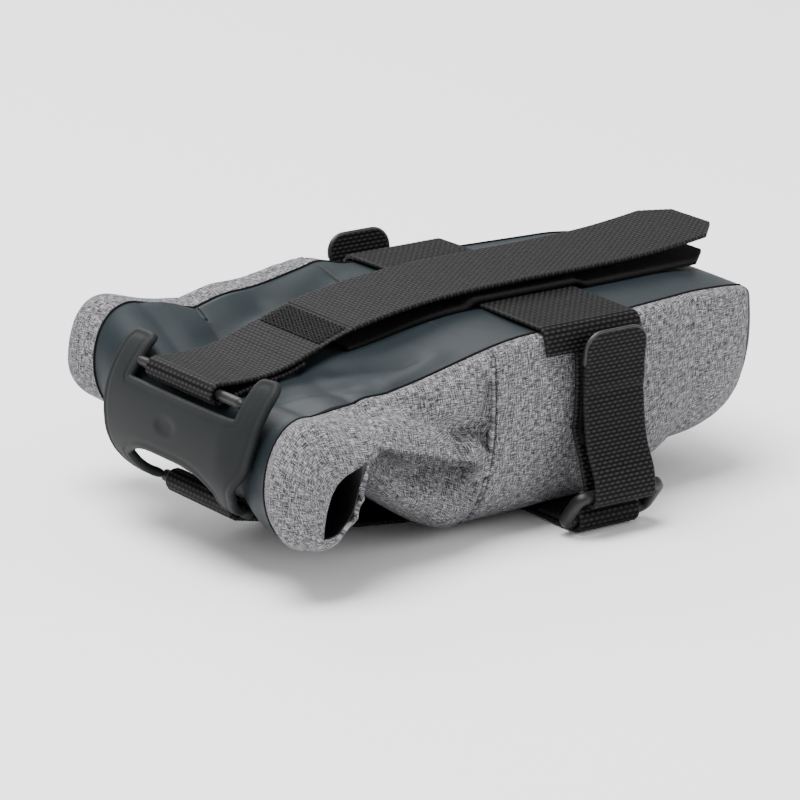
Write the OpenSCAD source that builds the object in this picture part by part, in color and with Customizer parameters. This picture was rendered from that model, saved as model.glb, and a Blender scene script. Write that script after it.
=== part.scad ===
// Roll-top saddle bag for a bicycle: a padded shell that hangs under the saddle rails, a neck
// that rolls shut at the rear, a rubber tail plate, a closure strap and a rail strap with rings.
// +X points to the sealed front end and +Z up. X 0 is the middle of the length, Z 0 the resting face.

/* [Shell] */
// Height of the top edge above the resting face at the rail strap
shell_height = 56.5; // [55.5:0.25:57.5]
// Half width of the top at the rail strap
top_half_width = 46.5; // [45.5:0.25:47.5]
// Half width of the flat base
base_half_width = 24; // [22:0.5:26]
// Thickness of the outer fabric with its backing
fabric = 1.2; // [1:0.1:1.3]
// Front end of the shell, measured from the middle of the length
nose_x = 91; // [88:0.5:94]

/* [Roll] */
// Length of the roll across the bag
roll_length = 122; // [118:1:126]
// Half height of the roll in the middle
roll_half_height = 17; // [16.5:0.25:17.25]
// Half depth of the roll in the middle, front to back
roll_half_depth = 12; // [11.5:0.25:12.25]

/* [Webbing] */
// Width of the closure strap, the tail webbing and the rail strap on top
wide_webbing = 32; // [30:0.5:33]
// Width of the side straps and their tabs
narrow_webbing = 20; // [18:0.5:21]
// Thickness of the webbing
webbing = 1.4; // [1.2:0.1:1.5]
// Thickness of the hook tape and the loop tape
tape = 0.9; // [0.7:0.1:0.9]

/* [Tail plate] */
// Width of the tail plate across its ears
plate_width = 66; // [62:1:68]
// Thickness of the tail plate
plate_thick = 2.6; // [2.2:0.1:2.8]

/* [Rings] */
// Free width inside each ring
ring_inner = 24; // [22.5:0.5:25]
// Bar diameter of each ring
ring_bar = 3.4; // [3:0.1:3.4]

/* [Hidden] */

// Colours
slate = [0.17, 0.20, 0.22];
heather = [0.52, 0.52, 0.54];
black = [0.07, 0.07, 0.08];
dark_tape = [0.10, 0.10, 0.11];
lining_grey = [0.12, 0.12, 0.13];
foam_grey = [0.30, 0.30, 0.32];
board_grey = [0.20, 0.20, 0.20];
rubber_grey = [0.22, 0.24, 0.24];
rim_grey = [0.35, 0.35, 0.36];

// Where the shell changes along its length
seam_x = -12;
joint_x = -42;
joint_gap = 0.8;
nose_start_x = 62;
cap_share = 0.55;
nose_centre_z = 41;
crown = 0.6;
base_z = 1.5;
base_front_x = 34;
base_rear_x = -18;

// Layers inside the shell, as distances in from its outer face
foam_inset = 1.5;
foam_thick = 1.8;
lining_inset = 3.6;
lining_thick = 0.5;
stiffener_inset = 1.7;
stiffener_thick = 1.2;

// Shape functions of the shell
function clamp01(t) = min(1, max(0, t));
function smooth(t) = let (c = clamp01(t)) c * c * (3 - 2 * c);
function mix(a, b, t) = a + (b - a) * t;
function steps(a, b, n) = [for (i = [0:n]) mix(a, b, i / n)];
function bezier(p, t) =
    p[0] * pow(1 - t, 3) + 3 * p[1] * pow(1 - t, 2) * t + 3 * p[2] * (1 - t) * t * t + p[3] * pow(t, 3);

// Height of the top edge, height of the underside and half width of the top at x
function top_z(x) =
    shell_height + 0.01 * max(0, x - 20) - 6 * smooth(-x / 44) - 5.5 * smooth((-x - 40) / 24);
function bottom_z(x) =
    let (front = max(0, x - base_front_x), rear = max(0, base_rear_x - x) / 38)
    base_z + 0.012 * front * front + 28 * pow(rear, 1.25);
// The bag leans at the rear: beyond the strap the far side sits higher and the near side lower
function lean(x, y) =
    0.27 * pow(clamp01(-x / 80), 1.2) * sign(y) * max(0, min(abs(y), 46) - wide_webbing / 2 - 2);
function leaned(p) = [p[0], p[1], p[2] + lean(p[0], p[1])];
function top_half(x) = mix(top_half_width + 0.6, 44.5, smooth(-x / 40)) - 0.12 * max(0, x);

// The side of the section at x, from the top edge (t 0) down to the flat base (t 1)
function side_curve(x, t) =
    let (zt = top_z(x), zb = bottom_z(x), w = top_half(x), h = zt - zb)
    let (wing = smooth((seam_x - x) / 30), narrow = 1 - 0.0035 * max(0, x - 10))
    let (base = base_half_width + 10 * smooth((-x - 46) / 14))
    bezier([
        [w, zt],
        [mix(w + 4.5, 61, wing), mix(zt - 0.52 * h, zt - 0.18 * h, wing)],
        [mix((base_half_width + 18) * narrow, 60, wing), mix(zb, zb + 0.08 * h, wing)],
        [base * narrow, zb]
    ], t);

// Points on the section at x, set in from the outer face by d
function section_point(x, t, d, side = 1) =
    let (e = 0.02, p = side_curve(x, t))
    let (q = side_curve(x, min(1, t + e)) - side_curve(x, max(0, t - e)))
    leaned([x, side * (p[0] + q[1] / norm(q) * d), p[1] - q[0] / norm(q) * d]);
function roof_point(x, s, d) = leaned([x, s * (top_half(x) - d), top_z(x) - d + crown * (1 - s * s)]);
function floor_point(x, s, d) = let (edge = side_curve(x, 1)) leaned([x, s * edge[0], edge[1] + d]);

// A station k is an X, or [v] on the nose, where v runs from 0 at its start to 1 at its tip.
// On the nose the section at nose_start_x is drawn in towards the nose's centre line.
function drawn_in(p, v, d) =
    let (c = cos(90 * v))
    [nose_start_x + (nose_x - nose_start_x) * sin(90 * v) - d * v * v,
     p[1] * pow(c, 0.32), nose_centre_z + (p[2] - nose_centre_z) * pow(c, 0.42)];
function at_roof(k, s, d) =
    is_list(k) ? drawn_in(roof_point(nose_start_x, s, d), k[0], d) : roof_point(k, s, d);
function at_side(k, t, d, side) =
    is_list(k) ? drawn_in(section_point(nose_start_x, t, d, side), k[0], d) : section_point(k, t, d, side);
function at_floor(k, s, d) =
    is_list(k) ? drawn_in(floor_point(nose_start_x, s, d), k[0], d) : floor_point(k, s, d);

root_rear_x = joint_x + joint_gap / 2;
roll_front_x = joint_x - joint_gap / 2;
function nose_stations(a, b, n) = [for (v = steps(a, b, n)) [v]];
function shell_stations(from_x, count) =
    concat(steps(from_x, nose_start_x - 2, count), nose_stations(0, cap_share, 5));

// A closed solid between two grids of points that have the same rows and columns
module sheet(outer, inner, flip = false) {
    rows = len(outer);
    cols = len(outer[0]);
    half = rows * cols;
    function id(i, j) = i * cols + j;
    outside = [for (i = [0:rows - 2]) for (j = [0:cols - 2]) each [
        [id(i, j), id(i + 1, j), id(i + 1, j + 1)],
        [id(i, j), id(i + 1, j + 1), id(i, j + 1)]]];
    inside = [for (f = outside) [f[2] + half, f[1] + half, f[0] + half]];
    rim = concat(
        [for (j = [0:cols - 1]) id(0, j)],
        [for (i = [1:rows - 1]) id(i, cols - 1)],
        [for (j = [cols - 2:-1:0]) id(rows - 1, j)],
        [for (i = [rows - 2:-1:0]) id(i, 0)]);
    edge = [for (k = [0:len(rim) - 2]) each [
        [rim[k], rim[k + 1], rim[k + 1] + half],
        [rim[k], rim[k + 1] + half, rim[k] + half]]];
    faces = concat(outside, inside, edge);
    points = concat([for (row = outer) each row], [for (row = inner) each row]);
    polyhedron(points, flip ? [for (f = faces) [f[2], f[1], f[0]]] : faces, convexity = 8);
}

// The whole section as one loop of points, from the far top edge over to the near side and back
function loop(k, d) = concat(
    [for (s = steps(0.96, -0.96, 7)) at_roof(k, s, d)],
    [for (t = steps(0.07, 0.96, 7)) at_side(k, t, d, -1)],
    [for (s = steps(-0.9, 0.9, 4)) at_floor(k, s, d)],
    [for (t = steps(0.96, 0.07, 7)) at_side(k, t, d, 1)]);

// A closed bowl: loops of points from its rim to its bottom, outside and inside
module bowl(stations, d0, d1) {
    loops = concat([for (k = stations) loop(k, d0)],
        [for (i = [len(stations) - 1:-1:0]) loop(stations[i], d1)]);
    cols = len(loops[0]);
    rows = len(loops);
    mid = len(stations);
    tip = rows * cols;
    function id(i, j) = i * cols + (j % cols);
    function band(i, n) = [for (j = [0:cols - 1]) each [
        [id(i, j), id(n, j), id(n, j + 1)], [id(i, j), id(n, j + 1), id(i, j + 1)]]];
    walls = concat([for (i = [0:mid - 2]) each band(i, i + 1)],
        [for (i = [mid:rows - 2]) each band(i, i + 1)]);
    rim = band(rows - 1, 0);
    outer_tip = [for (j = [0:cols - 1]) [id(mid - 1, j), tip, id(mid - 1, j + 1)]];
    inner_tip = [for (j = [0:cols - 1]) [tip + 1, id(mid, j), id(mid, j + 1)]];
    points = concat([for (row = loops) each row],
        [[nose_x - d0, 0, nose_centre_z], [nose_x - d1, 0, nose_centre_z]]);
    polyhedron(points, concat(walls, rim, outer_tip, inner_tip), convexity = 8);
}

module roof_sheet(stations, d0, d1) {
    function grid(d) = [for (k = stations) [for (s = steps(-1, 1, 8)) at_roof(k, s, d)]];
    sheet(grid(d0), grid(d1));
}

module floor_sheet(stations, d0, d1) {
    function grid(d) = [for (k = stations) [for (s = steps(-1, 1, 6)) at_floor(k, s, d)]];
    sheet(grid(d0), grid(d1), flip = true);
}

side_t0 = 0.025;
side_t1 = 0.995;
module side_sheet(stations, d0, d1, near, t0 = side_t0, t1 = side_t1) {
    function grid(d) = [for (k = stations) [for (t = steps(t0, t1, 10)) at_side(k, t, d, near ? -1 : 1)]];
    sheet(grid(d0), grid(d1), flip = !near);
}

// A strip of webbing or tape: a centre line in a plane, given thickness there and width across it
function normals(path) = [for (i = [0:len(path) - 1])
    let (q = path[min(len(path) - 1, i + 1)] - path[max(0, i - 1)]) [-q[1], q[0]] / norm(q)];
function arc(centre, r, a0, a1, n = 10) = [for (a = steps(a0, a1, n)) centre + r * [cos(a), sin(a)]];
function shifted(path, d) = let (n = normals(path)) [for (i = [0:len(path) - 1]) path[i] + n[i] * d];
module strip(path, thick, width) {
    back = shifted(path, -thick / 2);
    outline = concat(shifted(path, thick / 2), [for (i = [len(back) - 1:-1:0]) back[i]]);
    translate([0, 0, -width / 2]) linear_extrude(width) polygon(outline);
}
// Strips whose centre line is in X and Z, and in Y and Z
module strip_xz(path, thick, width) rotate([90, 0, 0]) strip(path, thick, width);
module strip_yz(path, thick, width) rotate([90, 0, 90]) strip(path, thick, width);

// Shell
module top_panel() {
    color(slate) roof_sheet(shell_stations(root_rear_x, 20), 0, fabric);
}

module bottom_panel() {
    color(slate) floor_sheet(shell_stations(root_rear_x, 20), 0, fabric);
}

module side_panel(near) {
    color(heather) side_sheet(shell_stations(seam_x + 0.2, 14), 0, fabric, near);
}

module gusset(near) {
    color(heather) side_sheet(steps(root_rear_x, seam_x - 0.2, 8), 0, fabric, near);
}

module nose_panel() {
    color(slate) bowl(nose_stations(cap_share + 0.012, 0.97, 6), 0, fabric);
}

module lining() {
    color(lining_grey)
        bowl(concat(steps(root_rear_x + 1, nose_start_x - 4, 16), nose_stations(0, 0.95, 9)),
            lining_inset, lining_inset + lining_thick);
}

module base_stiffener() {
    color(board_grey)
        translate([base_rear_x + 2, 2 - base_half_width, base_z + stiffener_inset])
        cube([base_front_x - base_rear_x - 2, 2 * base_half_width - 4, stiffener_thick]);
}

module side_foam(near) {
    color(foam_grey)
        side_sheet(steps(seam_x + 4, nose_start_x - 4, 10), foam_inset, foam_inset + foam_thick, near,
            0.1, 0.6);
}

// Strip along the top that the closure strap grips
strap_x0 = 4;
rail_top_z = shell_height + 2.65;
grip_width = wide_webbing + 4;
grip_thick = 1.2;
grip_x0 = -38;
grip_x1 = 78;
function roof_z(x) = top_z(x) + crown;
function grip_z(x) =
    let (over = smooth((x - strap_x0 + 5) / 4) * smooth((strap_x0 + wide_webbing + 5 - x) / 4))
    mix(roof_z(x) + 0.2, rail_top_z + 0.15, over) + grip_thick / 2;
module grip_strip() {
    color(dark_tape) strip_xz([for (x = steps(grip_x0, grip_x1, 40)) [x, grip_z(x)]], grip_thick, grip_width);
}

// Rail strap over the top, and its side straps down to the rings
rail_end = [top_half_width + 1.9, shell_height - 3.7];
rail_half = concat(
    [[-rail_end[0], rail_end[1]], [-rail_end[0] + 0.4, rail_end[1] + 2.6]],
    arc([-rail_end[0] + 3.5, shell_height - 1.3], 3, 170, 95, 6));
rail_crown = [for (y = steps(-42, 42, 8)) [y, rail_top_z - webbing / 2 - 0.00015 * y * y]];
module rail_strap() {
    far_half = [for (i = [len(rail_half) - 1:-1:0]) [-rail_half[i][0], rail_half[i][1]]];
    path = concat(rail_half, rail_crown, far_half);
    color(black) translate([strap_x0 + wide_webbing / 2, 0, 0]) strip_yz(path, webbing, wide_webbing);
}

// Everything on one side strap is drawn for the near side, about its own middle in X
near_strap_x = 23.5;
far_strap_x = 13.5;
module on_side(near) {
    if (near) translate([near_strap_x, 0, 0]) children();
    else translate([far_strap_x, 0, 0]) mirror([0, 1, 0]) children();
}

// Ring bars, near side, in Y and Z
lower_bar = [-49, 3.4];
upper_bar = [-56, 12];
bar_play = 0.3;
fold_r = ring_bar / 2 + bar_play + webbing / 2;
drop_clear = 0.55 + webbing / 2;
drop_line = concat(
    [for (t = steps(0.07, 0.34, 6))
        let (p = section_point(far_strap_x - narrow_webbing / 2, t, -drop_clear)) [-p[1], p[2]]],
    [[-50.8, 22], [upper_bar[0] + fold_r, upper_bar[1] + 2.2]]);
module strap_drop(near) {
    color(black) on_side(near) strip_yz(drop_line, webbing, narrow_webbing);
}

// The loop tape lies on the upper part of the side strap
loop_line = [for (i = [0:5]) drop_line[i]];
loop_offset = (webbing + tape) / 2 + 0.05;
module loop_tape(near) {
    color(dark_tape) on_side(near) strip_yz(shifted(loop_line, -loop_offset), tape, narrow_webbing - 2);
}

module ring_anchor(near) {
    line = concat([[-32.5, 2.3], [-42, 2.3], [-45.3, 4.3]], arc(lower_bar, fold_r, 60, 270, 14),
        [[-26, webbing / 2], [-6, webbing / 2]]);
    color(black) on_side(near) strip_yz(line, webbing, narrow_webbing);
}

module ring(near) {
    half = ring_inner / 2;
    rise = upper_bar - lower_bar;
    module side_outline() {
        for (bar = [lower_bar, upper_bar]) translate(bar) circle(d = ring_bar + 0.4, $fn = 40);
        translate(lower_bar) rotate(atan2(rise[1], rise[0]))
            translate([0, -ring_bar / 2 - 0.2]) square([norm(rise), ring_bar + 0.4]);
    }
    color(black) on_side(near) rotate([90, 0, 90]) {
        for (bar = [lower_bar, upper_bar])
            translate([bar[0], bar[1], -half]) cylinder(h = 2 * half, d = ring_bar, $fn = 40);
        for (x = [-half - ring_bar, half])
            translate([0, 0, x]) linear_extrude(ring_bar) side_outline();
    }
}

module strap_fold(near) {
    color(black) on_side(near) strip_yz(arc(upper_bar, fold_r, 360, 180, 16), webbing, narrow_webbing);
}

// Tab: the strap's end, turned up outside and pressed on to the side strap. The far one ends higher.
tab_foot = [upper_bar[0] - fold_r, upper_bar[1] + 0.6];
tab_grip = [-52.7, 46.5];
function tab_tip(near) = near ? [-54, 57] : [-55, 62];
function tab_line(near) =
    [tab_foot, tab_foot + [0.9, 5], [-54.4, 25.5], [-52.9, 36], tab_grip, tab_tip(near)];
tab_corner = 5;
module tab(near) {
    height = tab_tip(near)[1] - tab_foot[1];
    color(black) on_side(near) intersection() {
        strip_yz(tab_line(near), webbing, narrow_webbing);
        translate([0, -40, tab_foot[1]]) rotate([90, 0, 0]) linear_extrude(40) union() {
            offset(r = tab_corner, $fn = 32) offset(delta = -tab_corner)
                translate([-narrow_webbing / 2, 0]) square([narrow_webbing, height]);
            translate([-narrow_webbing / 2, -1]) square([narrow_webbing, height / 2]);
        }
    }
}

module hook_tape(near) {
    line = [[-53.5, 32], [-52.9, 36], tab_grip, tab_grip + [-0.37, 3]];
    color(dark_tape) on_side(near) strip_yz(shifted(line, -loop_offset), tape, narrow_webbing - 4);
}

module tab_rim(near) {
    top = tab_tip(near);
    color(rim_grey) on_side(near)
        translate([0, top[0], top[1] + 0.75]) rotate([0, 90, 0])
        cylinder(h = narrow_webbing - 2 * tab_corner, d = 1.4, center = true, $fn = 24);
}

// Tail plate with its two bars
hinge = [-73.5, 14.2];
hinge_bar = 3.4;
top_bar = [-79.4, 47.2];
top_bar_d = 3.2;
plate_line = [[-73.8, 53.4], [-77.6, 50], [-81.1, 44.8], [-83.8, 38.2], [-85, 31], [-84.6, 25],
    [-82.4, 20.2], [-79, 17], [-75.4, 15.2]];
slot_half = 23;
slot_low_z = 42.4;
arch_half = 21;
arch_z = 27;
webbing_half = wide_webbing / 2 + 1.6;
module plate_outline() {
    w = plate_width / 2;
    difference() {
        offset(r = 3, $fn = 32) offset(delta = -3)
            polygon([[-w, 54], [w, 54], [w, 38], [w - 3, 27], [w - 5, 21.5], [24, 16.5], [22, 11], [-22, 11],
                [-24, 16.5], [5 - w, 21.5], [3 - w, 27], [-w, 38]]);
        translate([-slot_half, slot_low_z]) square([2 * slot_half, 20]);
        polygon([[-arch_half, arch_z], [arch_half, arch_z], [webbing_half, 10], [-webbing_half, 10]]);
    }
}
module tail_plate() {
    color(rubber_grey) {
        intersection() {
            strip_xz(plate_line, plate_thick, plate_width + 2);
            translate([-100, 0, 0]) rotate([90, 0, 90]) linear_extrude(50) plate_outline();
        }
        translate([top_bar[0], 0, top_bar[1]]) rotate([90, 0, 0])
            cylinder(h = 2 * slot_half + 2, d = top_bar_d, center = true, $fn = 40);
        translate([hinge[0], 0, hinge[1]]) rotate([90, 0, 0])
            cylinder(h = 2 * webbing_half + 8, d = hinge_bar, center = true, $fn = 40);
    }
}

// Webbing from the base to the plate's lower bar, looped round the bar and sewn to itself
module tail_webbing() {
    r = hinge_bar / 2 + bar_play + webbing / 2;
    line = concat([[2, webbing / 2], [-20, webbing / 2], [-34, 2.2], [-50, 5.6], [-67, 10.1]],
        arc(hinge, r, 270, 50, 20), [[-69.4, 14.2], [-66, 12.3], [-58, 9.8]]);
    color(black) strip_xz(line, webbing, wide_webbing);
}

// Closure strap: a sewn loop round the plate's top bar, then forward along the top
loop_r = top_bar_d / 2 + bar_play + webbing / 2;
closure_line = concat(
    [[-52, 51], [-58, 49], [-66, 47.8], [-73, 46.3]],
    arc(top_bar, loop_r, 285, 88, 16),
    [[-74, 49.4], [-66, 49.6], [-58, 50.9], [-50, 53.6], [-40, 57], [-30, 59.2], [-16, 61.2], [0, 62.4],
     [20, 62.8], [40, 62.8], [60, 63.2], [75, 64.4], [87, 66]]);
strap_corner = 7;
module closure_strap() {
    tip = 87;
    color(black) difference() {
        strip_xz(closure_line, webbing, wide_webbing);
        for (side = [-1, 1])
            translate([tip, side * wide_webbing / 2, 55]) rotate([0, 0, 45])
            cube([strap_corner, strap_corner, 40], center = true);
    }
}

hook_line = [[-4, 62.1], [0, 62.4], [20, 62.8], [40, 62.8], [58, 63.15]];
module closure_hook_tape() {
    color(dark_tape) strip_xz(shifted(hook_line, -loop_offset), tape, wide_webbing - 4);
}

module closure_stitch_block() {
    line = [[-52, 52.9], [-46, 55], [-38, 57.6]];
    color(dark_tape) strip_xz(shifted(line, webbing / 2 + 0.35), 0.5, wide_webbing - 6);
}

// Neck between the shell and the roll
neck_top_end = -59.5;
neck_bottom_end = -55.5;
neck_side_end = -54;
module neck_top() {
    color(slate) roof_sheet(steps(roll_front_x, neck_top_end, 8), 0, fabric);
}

module neck_bottom() {
    color(slate) floor_sheet(steps(roll_front_x, neck_bottom_end, 6), 0, fabric);
}

module neck_side(near) {
    color(heather) side_sheet(steps(roll_front_x, neck_side_end, 6), 0, fabric, near);
}

// Roll: a spiral whose ends open out. Its far half sits higher, as the rear of the bag leans.
roll_x = -69.5;
roll_low_z = 11;
function near_flare(y) = smooth((-y - 36) / (roll_length / 2 - 36));
function far_flare(y) = smooth((y - 36) / (roll_length / 2 - 36));
// Along its middle the tail webbing and its bar press the roll's underside up
function dent(y) = 1 - smooth((abs(y) - 23) / 9);
function roll_bottom(y) = roll_low_z + 12 * smooth(y / 52) + 2.5 * near_flare(y) + 6.5 * dent(y);
function roll_top(y) = roll_low_z + 2 * roll_half_height + 8.5 * smooth((y - 10) / 36) + 5 * near_flare(y);
function roll_axis(y) = [roll_x - 7 * near_flare(y) - 1.5 * far_flare(y), (roll_top(y) + roll_bottom(y)) / 2];
function spiral(y, a, d) =
    let (k = 1 + 0.24 * smooth((88 - a) / 40) - 0.3 * max(0, a - 330) / 180, c = roll_axis(y))
    let (rx = (roll_half_depth + 2.5 * near_flare(y)) * k - d)
    let (rz = (roll_top(y) - roll_bottom(y)) / 2 * k - d)
    [c[0] + rx * cos(a), y, c[1] + rz * sin(a)];
module spiral_sheet(half_length, a0, a1, d0, d1) {
    turns = ceil((a1 - a0) / 13.2);
    rings = steps(-half_length, half_length, 20);
    function grid(d) = [for (y = rings) [for (a = steps(a0, a1, turns)) spiral(y, a, d)]];
    sheet(grid(d0), grid(d1), flip = true);
}

module roll_sheet() {
    color(slate) spiral_sheet(roll_length / 2, 50, 600, 0, fabric);
}

module roll_lining() {
    color(lining_grey) spiral_sheet(roll_length / 2 - 1, 56, 594, fabric + 0.3, fabric + 0.6);
}

module lip_stiffener() {
    color(board_grey) spiral_sheet(50, 500, 588, fabric + 1, fabric + 1.7);
}

top_panel();
bottom_panel();
side_panel(true);  // near_side_panel
side_panel(false);  // far_side_panel
gusset(true);  // near_gusset
gusset(false);  // far_gusset
nose_panel();
lining();
base_stiffener();
side_foam(true);  // near_side_foam
side_foam(false);  // far_side_foam
grip_strip();
rail_strap();
strap_drop(true);  // near_strap_drop
strap_drop(false);  // far_strap_drop
loop_tape(true);  // near_loop_tape
loop_tape(false);  // far_loop_tape
ring_anchor(true);  // near_ring_anchor
ring_anchor(false);  // far_ring_anchor
tail_webbing();
neck_top();
neck_bottom();
neck_side(true);  // near_neck_side
neck_side(false);  // far_neck_side
roll_sheet();
roll_lining();
lip_stiffener();
tail_plate();
closure_strap();
closure_hook_tape();
closure_stitch_block();
ring(true);  // near_ring
ring(false);  // far_ring
strap_fold(true);  // near_strap_fold
strap_fold(false);  // far_strap_fold
tab(true);  // near_tab
tab(false);  // far_tab
hook_tape(true);  // near_hook_tape
hook_tape(false);  // far_hook_tape
tab_rim(true);  // near_tab_rim
tab_rim(false);  // far_tab_rim
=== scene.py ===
"""Looks of the roll-top saddle bag: fabric, webbing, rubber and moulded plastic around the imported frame.

Shapes are worked out in millimetres, in the CAD frame, and turned into metres when a mesh is made.
Near is the -Y side, far is the +Y side, front is +X (the sealed end) and rear is -X (the roll).
"""
import math

import bmesh
import bpy
import numpy as np
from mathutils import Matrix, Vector


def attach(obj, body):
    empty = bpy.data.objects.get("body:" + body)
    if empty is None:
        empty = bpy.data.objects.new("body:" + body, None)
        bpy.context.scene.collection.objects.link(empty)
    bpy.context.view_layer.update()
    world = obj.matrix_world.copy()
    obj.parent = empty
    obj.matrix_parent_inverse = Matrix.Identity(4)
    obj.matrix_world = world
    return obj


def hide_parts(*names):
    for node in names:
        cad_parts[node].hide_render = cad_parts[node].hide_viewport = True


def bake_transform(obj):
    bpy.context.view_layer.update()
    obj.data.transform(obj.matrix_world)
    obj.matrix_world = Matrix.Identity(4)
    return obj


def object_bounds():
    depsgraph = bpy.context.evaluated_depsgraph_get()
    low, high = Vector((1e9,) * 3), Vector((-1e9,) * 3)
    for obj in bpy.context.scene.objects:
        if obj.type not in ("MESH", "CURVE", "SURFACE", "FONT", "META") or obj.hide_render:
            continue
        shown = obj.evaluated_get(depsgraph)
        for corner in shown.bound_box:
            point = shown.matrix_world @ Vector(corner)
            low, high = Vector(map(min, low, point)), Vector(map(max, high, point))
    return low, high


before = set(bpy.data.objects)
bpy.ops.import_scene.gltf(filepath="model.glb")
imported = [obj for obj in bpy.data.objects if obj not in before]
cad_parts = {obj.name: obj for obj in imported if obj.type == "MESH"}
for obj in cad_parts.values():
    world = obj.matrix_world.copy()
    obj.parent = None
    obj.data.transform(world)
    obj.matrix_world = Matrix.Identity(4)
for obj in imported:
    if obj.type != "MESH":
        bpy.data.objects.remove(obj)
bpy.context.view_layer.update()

MM = 0.001
NEAR, FAR = -1, 1
SIDES = ((NEAR, "near"), (FAR, "far"))


# ---- Small maths ----
def clamp01(t):
    return np.clip(t, 0.0, 1.0)


def smooth(t):
    t = clamp01(t)
    return t * t * (3 - 2 * t)


def mix(a, b, t):
    return a + (b - a) * t


def bump(distance, width):
    """1 at distance 0, fading out over about two widths."""
    return np.exp(-(distance / width) ** 2)


def unit(v):
    return v / np.maximum(np.linalg.norm(v, axis=-1, keepdims=True), 1e-9)


def curve(a, b, c, d, t):
    """The smooth curve from b to c at share t; a and d are the points before and after."""
    square = 2 * a - 5 * b + 4 * c - d
    cube = 3 * b - 3 * c + d - a
    return 0.5 * (2 * b + (c - a) * t + square * t * t + cube * t ** 3)


def spline(points, count):
    """A smooth curve through the points, resampled evenly along its length."""
    p = np.asarray(points, float)
    ends = np.vstack([2 * p[0] - p[1], p, 2 * p[-1] - p[-2]])
    dense = []
    for i in range(1, len(ends) - 2):
        dense += [curve(*ends[i - 1:i + 3], t) for t in np.linspace(0, 1, 24, endpoint=False)]
    dense.append(p[-1])
    return resample(np.array(dense), count)


def lengths(path):
    return np.concatenate([[0], np.cumsum(np.linalg.norm(np.diff(path, axis=0), axis=1))])


def resample(path, count):
    s = lengths(path)
    at = np.linspace(0, s[-1], count)
    return np.stack([np.interp(at, s, path[:, i]) for i in range(path.shape[1])], axis=1)


def waves(points, scale, seed):
    """Slow, smooth noise from -1 to 1 over space: a few sine waves in fixed directions."""
    total = np.zeros(points.shape[:-1])
    for i in range(5):
        angle = 2.4 * i + seed
        direction = np.array([math.cos(angle), math.sin(1.7 * angle), math.sin(angle)])
        total += np.sin(points @ direction / scale * (1 + 0.35 * i) + 3.1 * seed + i)
    return total / 5


# ---- The shell, as in the CAD model ----
SHELL_HEIGHT = 56.5
TOP_HALF_WIDTH = 46.5
BASE_HALF_WIDTH = 24
FABRIC = 1.2
NOSE_X = 91
NOSE_START_X = 62
NOSE_CENTRE_Z = 41
CAP_SHARE = 0.55
SEAM_X = -12
NECK_X = -54
FLAP_END_X = -58.5
CROWN = 0.6
EDGE_ROLL = 3.0


def top_z(x):
    return SHELL_HEIGHT + 0.01 * max(0, x - 20) - 6 * smooth(-x / 44) - 5.5 * smooth((-x - 40) / 24)


def bottom_z(x):
    front, rear = max(0, x - 34), max(0, -18 - x) / 38
    return 1.5 + 0.012 * front ** 2 + 28 * rear ** 1.25


def lean(x, y):
    """The rear leans: its far side is higher, and plumped up a little more than the CAD shell."""
    tilt = 0.27 * clamp01(-x / 80) ** 1.2 * np.sign(y) * np.clip(np.minimum(np.abs(y), 46) - 18, 0, None)
    tilt = np.where(y < 0, tilt * (1 - 0.8 * smooth((-42 - x) / 11)), tilt)
    return tilt + 4.5 * smooth((3 - x) / 18) * smooth((y - 16) / 24)


def edge_roll(x, side):
    """How far the heather fabric rolls over the top edge before it meets the slate."""
    return EDGE_ROLL + (5.5 * smooth((3 - x) / 20) if side == FAR else 0.0)


def top_half(x):
    return mix(TOP_HALF_WIDTH + 0.6, 44.5, smooth(-x / 40)) - 0.12 * max(0, x)


def side_curve(x, t):
    """A point on the side's section, from the top edge (t 0) down to the flat base (t 1)."""
    zt, zb, w = top_z(x), bottom_z(x), top_half(x)
    h = zt - zb
    narrow = 1 - 0.0035 * max(0, x - 10)
    p = np.array([[w, zt], [w + 4.5, zt - 0.52 * h], [(BASE_HALF_WIDTH + 18) * narrow, zb],
                  [BASE_HALF_WIDTH * narrow, zb]])
    return p[0] * (1 - t) ** 3 + 3 * p[1] * (1 - t) ** 2 * t + 3 * p[2] * (1 - t) * t * t + p[3] * t ** 3


# ---- Fabric sections: the slate top, the heather sides and the folded wings beside the neck ----
UPPER = 30          # columns from the slate seam down to the fold
LOWER = 30          # columns from the fold down to the base
ROOF = 57
FLOOR = 21


def side_section(x, side):
    """The plain side of the bag, as points (out, z) from the slate seam to the base."""
    w, zt = top_half(x), top_z(x)
    points = [[w - edge_roll(x, side), zt + 0.5], [w - 1.2, zt + 0.2], [w + 0.3, zt - 1.2]]
    points += [list(side_curve(x, t)) for t in (0.09, 0.18, 0.3, 0.42)]
    upper = spline(points, UPPER + 1)
    lower = spline([side_curve(x, t) for t in (0.42, 0.55, 0.7, 0.85, 1.0)], LOWER + 1)
    return np.vstack([upper, lower[1:]])


def fold_point(x):
    """Where the wing is folded: its outermost line, running rearwards and up to the roll."""
    along = (-22 - x) / 35
    return np.array([50 + 6 * along, 27.1 + 12.1 * along])


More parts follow.
